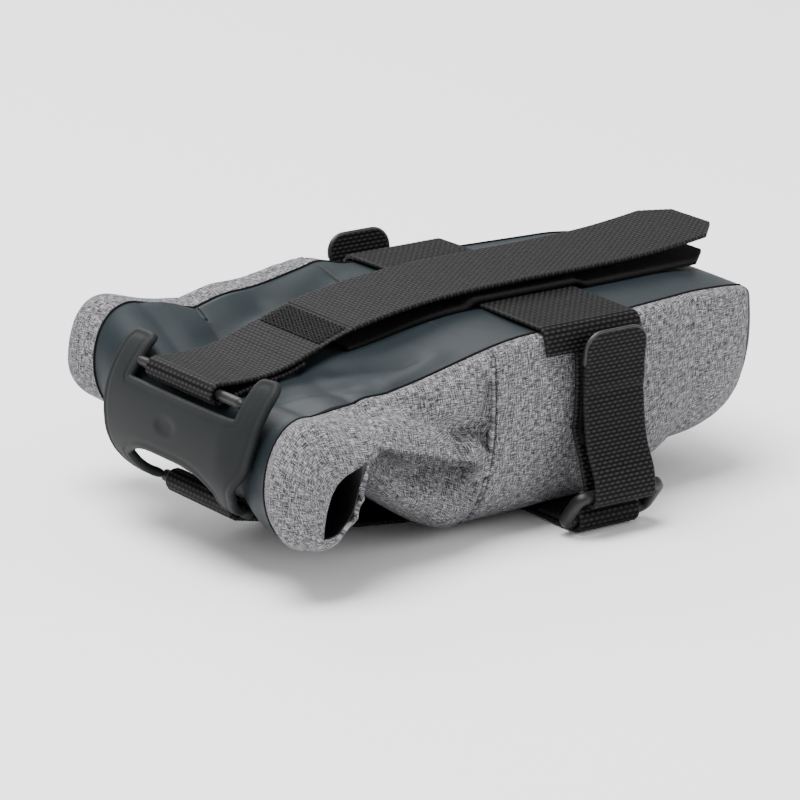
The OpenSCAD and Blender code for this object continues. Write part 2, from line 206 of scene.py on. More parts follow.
def wing_section(x, side):
    """The folded side beside the neck: an upper flap over a tucked-in lower flap."""
    w, zt, zb = top_half(x), top_z(x), bottom_z(x)
    base = BASE_HALF_WIDTH + 10 * smooth((-x - 46) / 14)
    fold = fold_point(x)
    belly = np.array([mix(w, fold[0], 0.66) + 1.4, mix(zt, fold[1], 0.5) + 0.8])
    upper = spline([[w - edge_roll(x, side), zt + 0.5], [w - 1.0, zt + 0.1], [w + 0.9, zt - 1.4], belly,
                    fold + [0.3, 1.6], fold], UPPER + 1)
    tuck = min(6.5, 0.4 * (fold[1] - zb))
    lower = spline([fold, fold + [-1.6, 0.2], fold + [-1.4 - tuck, -0.9 - 0.3 * tuck],
                    [mix(fold[0], base, 0.3), mix(fold[1], zb, 0.6)],
                    [mix(fold[0], base, 0.55), mix(fold[1], zb, 0.9)], [base, zb]], LOWER + 1)
    return np.vstack([upper, lower[1:]])


def section(x, side):
    """One side of the bag at x, as 3D points from the slate seam to the base."""
    flat = side_section(x, side)
    if x < SEAM_X:
        flat = mix(flat, wing_section(x, side), smooth((SEAM_X - x) / 13))
    y = side * flat[:, 0]
    return np.stack([np.full(len(flat), float(x)), y, flat[:, 1] + lean(x, y)], axis=1)


def roof_shares():
    inner = np.linspace(-0.93, 0.93, ROOF - 12)
    edge = np.linspace(0.94, 1, 6)
    return np.concatenate([-edge[::-1], inner, edge])


def roof(x):
    """The slate top at x, from the near seam to the far seam."""
    s = roof_shares()
    y = np.where(s < 0, s * (top_half(x) - edge_roll(x, NEAR)), s * (top_half(x) - edge_roll(x, FAR)))
    z = top_z(x) + 0.5 + CROWN * (1 - s * s)
    return np.stack([np.full(len(s), float(x)), y, z + lean(x, y)], axis=1)


def floor_strip(x):
    near, far = section(x, NEAR)[-1], section(x, FAR)[-1]
    return np.linspace(near, far, FLOOR)


def drawn_in(points, v):
    """A section drawn in towards the nose's centre line; v runs from 0 at its start to 1 at its tip."""
    c = math.cos(math.pi / 2 * v)
    out = points.copy()
    out[:, 0] = NOSE_START_X + (NOSE_X - NOSE_START_X) * math.sin(math.pi / 2 * v)
    out[:, 1] *= c ** 0.32
    out[:, 2] = NOSE_CENTRE_Z + (out[:, 2] - NOSE_CENTRE_Z) * c ** 0.42
    return out


def stations(points):
    """X positions closer together where the fabric folds or is sewn."""
    rows = []
    for start, stop, step in points:
        rows += list(np.arange(start, stop - 1e-6, -step))
    return rows


NOSE_ROWS = list(np.linspace(CAP_SHARE, 0, 15))
FRONT_ROWS = stations([(NOSE_START_X - 1.2, -8, 1.4), (-8, -11, 0.6), (-11, SEAM_X, 0.25)]) + [SEAM_X]
WING_ROWS = [SEAM_X] + stations([(-12.25, -13, 0.25), (-13.2, -30, 0.5), (-30, NECK_X, 1.0)]) + [NECK_X]
FLAP_ROWS = [-55.5, -57, FLAP_END_X]


def front_grid(cut):
    """Rows of a section function from the nose's share CAP_SHARE back to the side seam."""
    nose = [drawn_in(cut(NOSE_START_X), v) for v in NOSE_ROWS]
    return np.array(nose + [cut(x) for x in FRONT_ROWS])


# ---- The roll: the flattened neck wound on itself, with soft, half-closed ends ----
ROLL_X, ROLL_LOW_Z = -69.5, 11
ROLL_HALF_DEPTH = 12
ROLL_END = {NEAR: 61, FAR: 66}
SLATE_HALF_ON_ROLL = 43.5
ROLL_ROWS = np.radians(np.arange(82, 601, 4.5))
# The rim of the roll's end, as shares of its half depth and half height, by angle from the front
RIM = np.array([[40, 1.00, 0.28], [82, 0.46, 0.16], [110, 0.28, 0.06], [140, 0.16, -0.08], [180, 0.06, -0.30],
                [220, 0.00, -0.55], [250, -0.02, -0.74], [285, 0.42, -0.70], [315, 0.72, -0.45],
                [345, 0.86, -0.14], [380, 0.97, 0.18], [400, 1.00, 0.28]])


def near_flare(y):
    return smooth((-y - 36) / 25)


def far_flare(y):
    return smooth((y - 36) / 25)


def dent(y):
    """Along its middle the tail webbing presses the roll's underside up."""
    return 1 - smooth((np.abs(y) - 23) / 9)


def roll_frame(y):
    """Centre, half depth and half height of the roll at y."""
    lift = 4 * smooth((y - 16) / 30)
    low = ROLL_LOW_Z + 12 * smooth(y / 52) + 2.5 * near_flare(y) + 6.5 * dent(y) + lift
    high = ROLL_LOW_Z + 34 + 8.5 * smooth((y - 10) / 36) + 5 * near_flare(y) + lift
    return (ROLL_X - 7 * near_flare(y) - 1.5 * far_flare(y), (low + high) / 2,
            ROLL_HALF_DEPTH + 2.5 * near_flare(y), (high - low) / 2)


def winding(a):
    """How far out the sheet lies at angle a: it winds inwards after most of a turn."""
    return 1 - 0.3 * np.clip(np.degrees(a) - 330, 0, None) / 180


def roll_point(y, a):
    cx, cz, rx, rz = roll_frame(y)
    k = winding(a)
    ripple = 0.35 * np.sin(y / 7.5 + 2.2 * a) * np.sin(0.5 * y / 7.5 + a)
    return np.stack([cx + (rx * k + ripple) * np.cos(a), y, cz + (rz * k + ripple) * np.sin(a)], axis=-1)


def roll_end(a, side):
    """Columns of one end at angle a, from the slate seam out and over the soft end to its rim."""
    inner = smooth((np.degrees(a) - 372) / 40)
    straight_to = mix(50.5, 46.0, inner)
    reach = mix(ROLL_END[side] - 50.5, 3.0, inner)
    ys = np.linspace(SLATE_HALF_ON_ROLL, straight_to, 10)
    flat = [roll_point(np.float64(side * y), a) for y in ys]
    cx, cz, rx, rz = roll_frame(np.float64(side * ROLL_END[side]))
    angle = min(np.degrees(a), 400)
    rim = np.array([cx + rx * np.interp(angle, RIM[:, 0], RIM[:, 1]), 0,
                    cz + rz * np.interp(angle, RIM[:, 0], RIM[:, 2])])
    curved = []
    for phi in np.linspace(0, math.pi / 2, UPPER - 8)[1:]:
        y = side * (straight_to + reach * math.sin(phi))
        outside = roll_point(np.float64(y), a)
        share = (1 - math.cos(phi)) * (1 - inner)
        p = mix(outside, rim, share)
        p[1] = y
        curved.append(p)
    return np.array(flat + curved)


def roll_middle(a):
    ys = roof_shares() * SLATE_HALF_ON_ROLL
    return roll_point(ys, np.full(len(ys), a))


def neck_row(last, first, side=None):
    """One row half way from the neck's last row to the roll's first; a wing bends round its corner."""
    row = mix(last, first, 0.5)
    row[:, 2] += 0.8
    if side is not None:
        cx, cz, rx, rz = roll_frame(np.float64(side * ROLL_END[side]))
        corner = np.array([cx + rx, side * (ROLL_END[side] - 1.0), cz + 0.28 * rz])
        t = np.linspace(0, 1, len(row))[:, None]
        start = mix(last[0], first[0], 0.5)
        angle = t * math.pi / 2
        row = start + (corner - start) * np.concatenate(
            [np.sin(angle) * 0.55 + 0.45 * t, np.sin(angle), 1 - np.cos(angle)], axis=1)
    return row


def through(rows, key, after, steps):
    """Smooth rows between rows[-1] and after[0] that pass through the row key."""
    chain = [rows[-2], rows[-1], key, after[0], after[1]]
    out = []
    for i in (1, 2):
        shares = np.linspace(0, 1, steps, endpoint=False)[1 if i == 1 else 0:]
        out += [curve(*chain[i - 1:i + 3], t) for t in shares]
    return out


# ---- Meshes ----
MERGE_DISTANCE = 0.00003


class Patch:
    """A grid of points in millimetres with its own fabric coordinates, also in millimetres."""

    def __init__(self, points, u=None, v=None, flip=False):
        self.points = np.asarray(points, float)
        middle = self.points.shape[1] // 2
        across = np.linalg.norm(np.diff(self.points, axis=1), axis=2)
        u_grid = np.concatenate([np.zeros((len(across), 1)), np.cumsum(across, axis=1)], axis=1)
        self.u = u_grid - u_grid[:, middle:middle + 1] if u is None else u
        along = np.linalg.norm(np.diff(self.points[:, middle], axis=0), axis=1)
        v_line = np.concatenate([[0], np.cumsum(along)])
        self.v = np.repeat(v_line[:, None], self.points.shape[1], axis=1) if v is None else v
        self.flip = flip

    def normals(self):
        n = unit(np.cross(np.gradient(self.points, axis=1), np.gradient(self.points, axis=0)))
        return -n if self.flip else n

    def moved(self, distance):
        """The same patch pushed out along its normals by a distance for each point."""
        push = np.broadcast_to(distance, self.points.shape[:2])[..., None]
        return Patch(self.points + self.normals() * push, self.u, self.v, self.flip)


def make_object(name, points, faces):
    """A smooth object from points in millimetres."""
    mesh = bpy.data.meshes.new(name)
    mesh.from_pydata((points * MM).tolist(), [], faces)
    obj = bpy.data.objects.new(name, mesh)
    bpy.context.scene.collection.objects.link(obj)
    for polygon in mesh.polygons:
        polygon.use_smooth = True
    return obj


def set_fabric(mesh, uv):
    """Gives each vertex its fabric coordinates, in millimetres."""
    layer = mesh.uv_layers.new(name="fabric")
    index = np.zeros(len(mesh.loops), int)
    mesh.loops.foreach_get("vertex_index", index)
    layer.data.foreach_set("uv", uv[index].astype(np.float32).ravel())


def edit_mesh(mesh, change):
    """Runs a change on the mesh's editable copy."""
    bm = bmesh.new()
    bm.from_mesh(mesh)
    change(bm)
    bm.to_mesh(mesh)
    bm.free()


def merge_close(bm):
    bmesh.ops.remove_doubles(bm, verts=bm.verts, dist=MERGE_DISTANCE)


def turn_out(bm):
    bmesh.ops.recalc_face_normals(bm, faces=bm.faces)


def drop_loose(bm):
    bmesh.ops.delete(bm, geom=[v for v in bm.verts if not v.link_faces], context="VERTS")


def apply_modifiers(obj):
    bpy.context.view_layer.update()
    evaluated = obj.evaluated_get(bpy.context.evaluated_depsgraph_get())
    mesh = bpy.data.meshes.new_from_object(evaluated)
    old = obj.data
    obj.modifiers.clear()
    obj.data = mesh
    bpy.data.meshes.remove(old)
    for polygon in mesh.polygons:
        polygon.use_smooth = True


def grid_quads(rows, cols):
    """The faces of a grid of points that are numbered row by row."""
    a = np.arange(rows * cols).reshape(rows, cols)[:-1, :-1].ravel()
    return np.stack([a, a + 1, a + cols + 1, a + cols], axis=1)


def cloth_piece(name, patches, material, thickness=FABRIC, merge=True):
    """One object from patches that share edges, given thickness inwards."""
    verts, faces, uvs = [], [], []
    start = 0
    for patch in patches:
        rows, cols = patch.points.shape[:2]
        verts.append(patch.points.reshape(-1, 3))
        uvs.append(np.stack([patch.u, patch.v], axis=-1).reshape(-1, 2))
        quads = grid_quads(rows, cols) + start
        faces += (quads[:, ::-1] if patch.flip else quads).tolist()
        start += rows * cols
    obj = make_object(name, np.vstack(verts), faces)
    set_fabric(obj.data, np.vstack(uvs))
    if merge:
        edit_mesh(obj.data, merge_close)
    solid = obj.modifiers.new("thickness", "SOLIDIFY")
    solid.thickness = thickness * MM
    solid.offset = -1
    apply_modifiers(obj)
    obj.data.materials.append(material)
    return obj


# ---- Webbing: a woven strap along a path, with its ribs in the mesh ----
RIB_PITCH = 1.15
RIB_CELL = 1.9
RIB_HEIGHT = 0.27


def ribs(u, v, half_width):
    """Height of the weave from -1 to 0: short ribs in rows, half a step on in each next row."""
    row = np.floor(v / RIB_PITCH)
    across = np.abs(np.sin(math.pi * (v / RIB_PITCH)))
    shift = 0.5 * np.mod(row, 2)
    along = np.abs(np.sin(math.pi * (u / RIB_CELL + shift)))
    height = across ** 0.6 * (0.45 + 0.55 * along ** 0.5)
    edge = smooth((half_width - np.abs(u)) / 1.2)
    return (height - 1) * mix(0.6, 1.0, edge)


def rounded(radius):
    """How much each side of a strap comes in near its end, for rounded corners."""
    return lambda left: radius * (1 - np.sqrt(clamp01(1 - (1 - clamp01(left / radius)) ** 2)))


def clipped(size):
    """How much each side of a strap comes in near its end, for corners cut at 45 degrees."""
    return lambda left: np.clip(size - left, 0, None)


def strap_faces(rows, cols):
    """The faces of a closed strap: its upper grid, its lower grid and the wall round them."""
    size = rows * cols
    number = np.arange(size).reshape(rows, cols)
    quads = grid_quads(rows, cols)
    rim = np.concatenate([number[0], number[1:, -1], number[-1, -2::-1], number[-2:0:-1, 0]])
    after = np.roll(rim, -1)
    wall = np.stack([rim, rim + size, after + size, after], axis=1)
    return np.vstack([quads, quads[:, ::-1] + size, wall]).tolist()


def strap_piece(name, path, across, width, material, thickness=1.4, ribbed=True, tip=None, step=0.32,
                cell=0.36, flat=None, thicker=None):
    """Webbing along a path, with one direction across it. Each of these takes the distance along the path:
    flat says where the ribs are pressed flat (0 to 1), thicker gives extra height on the upper face."""
    path = np.asarray(path, float)
    line = resample(path, max(8, int(lengths(path)[-1] / step)))
    at = lengths(line)
    side = np.broadcast_to(np.asarray(across, float), line.shape)
    tangent = unit(np.gradient(line, axis=0))
    up = unit(np.cross(side, tangent))
    half = np.full(len(line), width / 2)
    if tip:
        half -= tip(at[-1] - at)
    share = np.linspace(-1, 1, max(6, int(width / cell)))
    u = share[None, :] * half[:, None]
    v = np.repeat(at[:, None], len(share), axis=1)
    weave = 1 + ribs(u, v, half[:, None]) if ribbed else 0.5 + 0 * u
    fuzz = 0.05 * waves(np.stack([u, v, 0 * u], axis=-1), 0.5, 2.0)
    relief = RIB_HEIGHT * (weave - 1) if ribbed else fuzz
    if flat:
        relief = relief * mix(1.0, 0.3, flat(v)) - 0.3 * flat(v)
    edge = mix(0.45, 1.0, np.sqrt(clamp01(1 - clamp01((np.abs(share) - 0.955) / 0.05) ** 2)))[None, :]
    lift = (thickness / 2 + relief) * edge
    extra = thicker(v) * edge if thicker else 0.0
    centre = line[:, None] + side[:, None] * u[..., None]
    top = centre + up[:, None] * (lift + extra)[..., None]
    under = centre - up[:, None] * lift[..., None]
    verts = np.vstack([top.reshape(-1, 3), under.reshape(-1, 3)])
    obj = make_object(name, verts, strap_faces(*u.shape))
    set_fabric(obj.data, np.tile(np.stack([u, v], axis=-1).reshape(-1, 2), (2, 1)))
    # The rib height, which the webbing material reads for its painted highlight and painted shade.
    layer = obj.data.attributes.new("weave", "FLOAT", "POINT")
    layer.data.foreach_set("value", np.tile(weave.ravel(), 2).astype(np.float32))
    obj.data.materials.append(material)
    return obj


def in_xz(points, y=0.0):
    """A path given as (x, z) points, at one y."""
    p = np.asarray(points, float)
    return np.stack([p[:, 0], np.full(len(p), y), p[:, 1]], axis=1)


def in_yz(points, x, side):
    """A path given as the near side's (y, z) points, at one x; mirrored for the far side."""
    p = np.asarray(points, float)
    return np.stack([np.full(len(p), x), -side * p[:, 0], p[:, 1]], axis=1)


def arc(centre, radius, start, stop, count=14):
    """Points (a, b) on an arc, in degrees."""
    angle = np.radians(np.linspace(start, stop, count))
    return np.stack([centre[0] + radius * np.cos(angle), centre[1] + radius * np.sin(angle)], axis=1)


def tube_piece(name, path, radius, material, sides=10, closed=False, normal=(0.31, 0.52, 0.79), square=2.0):
    """A tube along a path with small ends; square above 2 gives it a rounded square section."""
    line = np.asarray(path, float)
    if closed:
        tangent = unit(np.roll(line, -1, axis=0) - np.roll(line, 1, axis=0))
    else:
        tangent = unit(np.gradient(line, axis=0))
    across = unit(np.cross(tangent, np.asarray(normal, float)))
    up = np.cross(across, tangent)
    angle = np.linspace(0, 2 * math.pi, sides, endpoint=False)
    reach = radius / (np.abs(np.cos(angle)) ** square + np.abs(np.sin(angle)) ** square) ** (1 / square)
    size = np.ones(len(line))
    if not closed:
        size[[0, -1]] = 0.35
    out = across[:, None] * np.cos(angle)[None, :, None] + up[:, None] * np.sin(angle)[None, :, None]
    ring = line[:, None] + out * (size[:, None] * reach[None, :])[..., None]
    rows, cols = ring.shape[:2]
    faces = []
    for i in range(rows if closed else rows - 1):
        for j in range(cols):
            n = (i + 1) % rows
            faces.append([i * cols + j, i * cols + (j + 1) % cols, n * cols + (j + 1) % cols, n * cols + j])
    if not closed:
        faces += [list(range(cols))[::-1], [(rows - 1) * cols + j for j in range(cols)]]
    obj = make_object(name, ring.reshape(-1, 3), faces)
    obj.data.materials.append(material)
    edit_mesh(obj.data, turn_out)
    return obj


def stitch_piece(name, path, lift, material, length=1.9, gap=0.8, radius=0.17):
    """A row of stitches along a path: each one a short thread that dips into the fabric at its ends."""
    line = np.asarray(path, float)
    s = lengths(line)
    lift = np.broadcast_to(np.asarray(lift, float), line.shape)
    parts = []
    at = 0.4
    while at + length < s[-1]:
        t = np.linspace(at, at + length, 7)
        points = np.stack([np.interp(t, s, line[:, i]) for i in range(3)], axis=1)
        out = np.stack([np.interp(t, s, lift[:, i]) for i in range(3)], axis=1)
        arch = np.sin(np.linspace(0, math.pi, 7))[:, None]
        parts.append(tube_piece(name, points + out * (0.28 * arch - 0.1), radius, material, sides=6))
        at += length + gap
    return join(name, parts)


def join(name, parts):
    bpy.ops.object.select_all(action="DESELECT")
    for part in parts:
        part.select_set(True)
    bpy.context.view_layer.objects.active = parts[0]
    if len(parts) > 1:
        bpy.ops.object.join()
    parts[0].name = name
    parts[0].data.name = name
    return parts[0]


# ---- Materials ----
class Nodes:
    """Short calls for building one material's nodes."""

    def __init__(self, name):
        self.material = bpy.data.materials.new(name)
        self.material.use_nodes = True
        self.tree = self.material.node_tree
        self.shader = self.tree.nodes["Principled BSDF"]

    def add(self, kind, settings=None, **inputs):
        node = self.tree.nodes.new(kind)
        for key, value in (settings or {}).items():
            setattr(node, key, value)
        for key, value in inputs.items():
            self.put(node, key, value)
        return node

    def put(self, node, key, value):
        socket = node.inputs[int(key[1:])] if key[0] == "i" and key[1:].isdigit() else node.inputs[key]
        if isinstance(value, bpy.types.NodeSocket):
            self.tree.links.new(value, socket)
        else:
            socket.default_value = value

    def math(self, operation, a, b=0.0):
        return self.add("ShaderNodeMath", {"operation": operation}, i0=a, i1=b).outputs[0]

    def scaled(self, value, factor, base=0.0):
        return self.math("ADD", self.math("MULTIPLY", value, factor), base)

    def weighted(self, a, share_a, b, share_b):
        return self.math("ADD", self.math("MULTIPLY", a, share_a), self.math("MULTIPLY", b, share_b))

    def noise(self, vector, detail=2.0, rough=0.5):
        node = self.add("ShaderNodeTexNoise", Vector=vector, Scale=1.0, Detail=detail, Roughness=rough)
        return node.outputs["Fac"]

    def cloud(self, size, detail=2.0, rough=0.5):
        """Noise over the object, with spots of about a size in millimetres."""
        return self.noise(self.place(1 / size), detail, rough)

    def fabric(self, x=1.0, y=1.0, z=0.0):
        """The fabric coordinates in millimetres, each scaled."""
        uv = self.add("ShaderNodeUVMap", {"uv_map": "fabric"}).outputs["UV"]
        return self.add("ShaderNodeMapping", i0=uv, Scale=(x, y, 1), Location=(0, 0, z)).outputs[0]

    def place(self, scale=1.0):
        """The place on the object in millimetres, scaled."""
        position = self.add("ShaderNodeTexCoord").outputs["Object"]
        factor = 1000.0 * scale
        return self.add("ShaderNodeMapping", i0=position, Scale=(factor, factor, factor)).outputs[0]

    def ramp(self, value, stops):
        node = self.add("ShaderNodeValToRGB", Fac=value)
        ramp = node.color_ramp
        while len(ramp.elements) < len(stops):
            ramp.elements.new(0.5)
        for element, (position, colour) in zip(ramp.elements, stops):
            element.position = position
            element.color = (*colour, 1)
        return node.outputs["Color"]

    def tones(self, value, dark, light):
        return self.ramp(value, [(0.3, dark), (0.7, light)])

    def blend(self, factor, a, b, mode="MIX"):
        node = self.add("ShaderNodeMix", {"data_type": "RGBA", "blend_type": mode})
        self.put(node, "i0", factor)
        self.put(node, "i6", a)
        self.put(node, "i7", b)
        return node.outputs[2]

    def bumps(self, height, strength, distance):
        node = self.add("ShaderNodeBump", Height=height, Strength=strength, Distance=distance * MM)
        self.put(self.shader, "Normal", node.outputs[0])

    def finish(self, colour, rough, **values):
        self.put(self.shader, "Base Color", colour)
        self.put(self.shader, "Roughness", rough)
        for key, value in values.items():
            self.put(self.shader, key.replace("_", " "), value)
        return self.material


def grey(value, tint=(1, 1, 1)):
    return tuple(value * t for t in tint)


def painted_fold_shade(n):
    """How much painted shade a place gets below the wings' fold, darkest just below the fold line."""
    place = n.add("ShaderNodeSeparateXYZ", i0=n.place())
    x, z = place.outputs[0], place.outputs[2]
    below = n.math("SUBTRACT", n.scaled(x, -0.346, 19.5), z)
    ranges = [(below, -0.2, 0.7), (below, 15.0, 2.0), (x, -14.0, -20.0), (x, -60.0, -56.0)]
    shares = [n.add("ShaderNodeMapRange", Value=value, i1=start, i2=end).outputs[0]
              for value, start, end in ranges]
    height_share = n.math("MULTIPLY", shares[0], shares[1])
    return n.math("MULTIPLY", height_share, n.math("MULTIPLY", shares[2], shares[3]))


YARN_PITCH = 0.62
HEATHER_TINT = (1.0, 0.975, 1.04)


def heather_material():
    """Melange weave: light and dark yarns both ways, each changing along its length, with painted shade below
    the wings' fold.
    """
    n = Nodes("heather")
    parts = n.add("ShaderNodeSeparateXYZ", i0=n.fabric())
    warp = n.noise(n.fabric(1 / 0.28, 1 / 2.2), 1.5, 0.5)
    weft = n.noise(n.fabric(1 / 2.2, 1 / 0.28, 9.0), 1.5, 0.5)
    across = n.math("SINE", n.math("MULTIPLY", parts.outputs[0], 2 * math.pi / YARN_PITCH))
    along = n.math("SINE", n.math("MULTIPLY", parts.outputs[1], 2 * math.pi / YARN_PITCH))
    over = n.scaled(n.math("MULTIPLY", across, along), 0.5, 0.5)
    mixed = n.math("ADD", n.math("MULTIPLY", warp, over),
                   n.math("MULTIPLY", weft, n.math("SUBTRACT", 1.0, over)))
    speck = n.noise(n.fabric(1 / 0.3, 1 / 0.3, 4.0), 1.0)
    mixed = n.weighted(mixed, 0.86, speck, 0.14)
    tones = [(0.32, 0.006), (0.45, 0.05), (0.53, 0.16), (0.64, 0.42)]
    colour = n.ramp(mixed, [(place, grey(tone, HEATHER_TINT)) for place, tone in tones])
    patchy = n.cloud(14.0, 2.0)
    colour = n.blend(n.math("MULTIPLY", patchy, 0.25), colour, (*grey(0.5), 1), "MULTIPLY")
    # Painted shade: the heather is darkened just below the wings' fold line.
    colour = n.blend(n.math("MULTIPLY", painted_fold_shade(n), 0.85), colour, (*grey(0.3), 1), "MULTIPLY")
    n.bumps(n.weighted(over, 0.5, speck, 0.6), 0.55, 0.22)
    return n.finish(colour, 0.88, Specular_IOR_Level=0.15)


def slate_material():
    """Coated fabric: fine diagonal grain under a satin coat, a little worn and dusty."""
    n = Nodes("slate_coated")
    grain = n.noise(n.fabric(1 / 0.3, 1 / 0.22), 2.0, 0.6)
    diagonal = n.add("ShaderNodeTexWave", {"bands_direction": "DIAGONAL"}, Vector=n.fabric(1.0, 1.0),
                     Scale=1.1, Distortion=0.6).outputs["Fac"]
    cloud = n.cloud(22.0, 3.0)
    colour = n.tones(cloud, (0.0075, 0.0115, 0.0145), (0.0115, 0.017, 0.020))
    colour = n.blend(n.math("MULTIPLY", grain, 0.2), colour, (0.028, 0.037, 0.041, 1))
    n.bumps(n.weighted(grain, 0.7, diagonal, 0.3), 0.35, 0.10)
    return n.finish(colour, n.scaled(cloud, 0.16, 0.42), Specular_IOR_Level=0.16)


def webbing_material():
    """Black polyester webbing: a painted highlight on the rib tops and painted shade in the gaps between
    them.
    """
    n = Nodes("webbing_black")
    weave = n.add("ShaderNodeAttribute", {"attribute_name": "weave"}).outputs["Fac"]
    fibre = n.noise(n.fabric(1 / 0.12, 1 / 0.5), 2.0, 0.6)
    wear = n.cloud(9.0, 3.0)
    height = n.weighted(weave, 0.8, fibre, 0.2)
    # Painted highlight and painted shade: colour follows rib height, light on the tops and black in the gaps;
    # the fibre noise is the yarn's own tone.
    colour = n.ramp(height, [(0.3, grey(0.0002)), (0.6, grey(0.002)), (0.92, grey(0.036, (1.0, 0.96, 0.97)))])
    colour = n.blend(n.math("MULTIPLY", wear, 0.3), colour, (*grey(0.004), 1))
    n.bumps(fibre, 0.5, 0.08)
    return n.finish(colour, 0.55, Specular_IOR_Level=0.07)


def tape_material(name, scale, level):
    """Fuzzy loop tape or bound fabric: short curled fibres with no direction."""
    n = Nodes(name)
    fuzz = n.cloud(scale, 4.0, 0.7)
    cloud = n.cloud(6.0, 2.0)
    tones = [(0.35, 0.001), (0.52, 0.004), (0.7, 0.014)]
    colour = n.ramp(fuzz, [(place, grey(tone * level)) for place, tone in tones])
    colour = n.blend(n.math("MULTIPLY", cloud, 0.3), colour, (*grey(0.003), 1))
    n.bumps(fuzz, 0.8, 0.25)
    return n.finish(colour, 0.92, Specular_IOR_Level=0.12)


def rubber_material():
    """Moulded rubber: matt, a fine pebble, paler along its sharp edges."""
    n = Nodes("tail_rubber")
    pebble = n.cloud(0.35, 2.0, 0.5)
    cloud = n.cloud(16.0, 3.0)
    edge = n.add("ShaderNodeNewGeometry").outputs["Pointiness"]
    # Sharp convex edges are made paler.
    paler_edges = n.ramp(edge, [(0.50, (0, 0, 0)), (0.58, (1, 1, 1))])
    colour = n.tones(cloud, (0.0065, 0.0078, 0.0085), (0.010, 0.0115, 0.0118))
    colour = n.blend(n.math("MULTIPLY", paler_edges, 0.3), colour, (0.03, 0.035, 0.035, 1))
    n.bumps(pebble, 0.25, 0.06)
    return n.finish(colour, n.scaled(cloud, 0.15, 0.52), Specular_IOR_Level=0.17)


def moulded_material(name, low, high, rough_base):
    """Moulded plastic: faint cloud in colour and gloss, with fine scuffs."""
    n = Nodes(name)
    cloud = n.cloud(5.0, 3.0)
    scuff = n.cloud(0.5, 3.0, 0.7)
    colour = n.tones(cloud, low, high)
    n.bumps(scuff, 0.15, 0.05)
    return n.finish(colour, n.scaled(scuff, 0.25, rough_base), Specular_IOR_Level=0.3)


def foam_material():
    """Closed-cell foam: small round cells."""
    n = Nodes("foam_grey")
    cells = n.add("ShaderNodeTexVoronoi", Vector=n.place(1 / 0.6), Scale=1.0).outputs["Distance"]
    colour = n.ramp(cells, [(0.1, (0.09, 0.09, 0.095)), (0.7, (0.16, 0.16, 0.165))])
    n.bumps(cells, 0.6, 0.2)
    return n.finish(colour, 0.9, Specular_IOR_Level=0.2)


def lining_material():
    """Thin coated lining with a fine ripstop grid."""
    n = Nodes("lining_dark")
    grid = n.add("ShaderNodeTexBrick", {"offset": 0.0}, Vector=n.place(1.0), Scale=0.25).outputs["Fac"]
    cloud = n.cloud(8.0, 3.0)
    colour = n.tones(cloud, grey(0.008), grey(0.018))
    n.bumps(n.math("ADD", grid, cloud), 0.3, 0.15)
    return n.finish(colour, 0.6, Specular_IOR_Level=0.35)


def thread_material():
    """Twisted sewing thread."""
    n = Nodes("thread_dark")
    twist = n.cloud(0.15, 1.0)
    colour = n.tones(twist, grey(0.003), grey(0.02))
    n.bumps(twist, 0.4, 0.05)
    return n.finish(colour, 0.7, Specular_IOR_Level=0.15)


HEATHER = heather_material()
SLATE = slate_material()
WEBBING = webbing_material()
GRIP = tape_material("grip_tape", 0.35, 0.9)
LOOP = tape_material("loop_tape", 0.45, 1.0)
RUBBER = rubber_material()
RING = moulded_material("ring_black", grey(0.004), grey(0.009), 0.32)
RIM_EDGE = moulded_material("melted_edge", grey(0.008), grey(0.03), 0.2)
BOARD = moulded_material("board_dark", grey(0.035), grey(0.06), 0.5)
FOAM = foam_material()
LINING = lining_material()
THREAD = thread_material()


# ---- Covers ----
def ride(obj, body, slot, *nodes):
    """Moves the piece with a body and hides the CAD pieces it stands for; its slot, a finish's name, is not
    used.
    """
    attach(obj, body)
    if nodes:
        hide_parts(*nodes)
    return obj


def rows_to_roll(rows, roll_rows, side=None):
    return rows + through(rows, neck_row(rows[-1], roll_rows[0], side), roll_rows, 5) + roll_rows


def wing_upper(side):
    rows = [section(x, side)[:UPPER + 1] for x in WING_ROWS]
    return np.array(rows_to_roll(rows, [roll_end(a, side) for a in ROLL_ROWS], side))


def wing_lower(side):
    return np.array([section(x, side)[UPPER:] for x in WING_ROWS + FLAP_ROWS])


def to_segment(p, a, b):
    """Distance of points from a straight line between two points."""
    a, b = np.asarray(a, float), np.asarray(b, float)
    t = clamp01(((p - a) @ (b - a)) / np.dot(b - a, b - a))
    return np.linalg.norm(p - a - t[..., None] * (b - a), axis=-1)


# Each crease: its height (negative for a dent), both ends of its line and its half width
SLATE_CREASES = [(-1.5, (-58, 22), (-38, 27), 4.2), (-1.3, (-46, -22), (-30, -30), 4.0),
                 (-0.9, (-66, -24), (-50, -33), 3.0), (-0.7, (-22, 24), (-6, 34), 4.5),
                 (0.6, (-52, 34), (-34, 38), 3.0), (0.7, (-40, -38), (-24, -36), 3.5)]
WING_CREASES = [(-3.4, (-19, 34), (-21.5, 35), 5.0), (-1.8, (-14.6, 36), (-14.0, 46), 1.6),
                (-3.4, (-36, 42), (-26, 37), 3.6), (-1.3, (-15, 24), (-16.5, 12), 1.3),
                (1.4, (-17.8, 24), (-19.5, 12), 1.8), (-2.0, (-22, 24), (-27, 13), 2.0),
                (1.2, (-25, 25), (-34, 17), 1.6), (-1.6, (-30, 27), (-42, 21), 1.7),
                (-0.7, (-44, 44), (-30, 44.5), 1.8)]
CURL_X, CURL_Z = -18.5, 30.0
SEAM_RADIUS = 0.4


def creased(flat, creases):
    return sum(height * bump(to_segment(flat, start, stop), width) for height, start, stop, width in creases)


def slate_relief(p):
    """Dents beside the strap's root, a slack hollow before the roll and faint waviness."""
    top = smooth((p[..., 2] - 30) / 8)
    rear = smooth((70 - p[..., 0]) / 20)
    return creased(p[..., :2], SLATE_CREASES) * top + 0.22 * waves(p, 9.0, 1.0) * rear


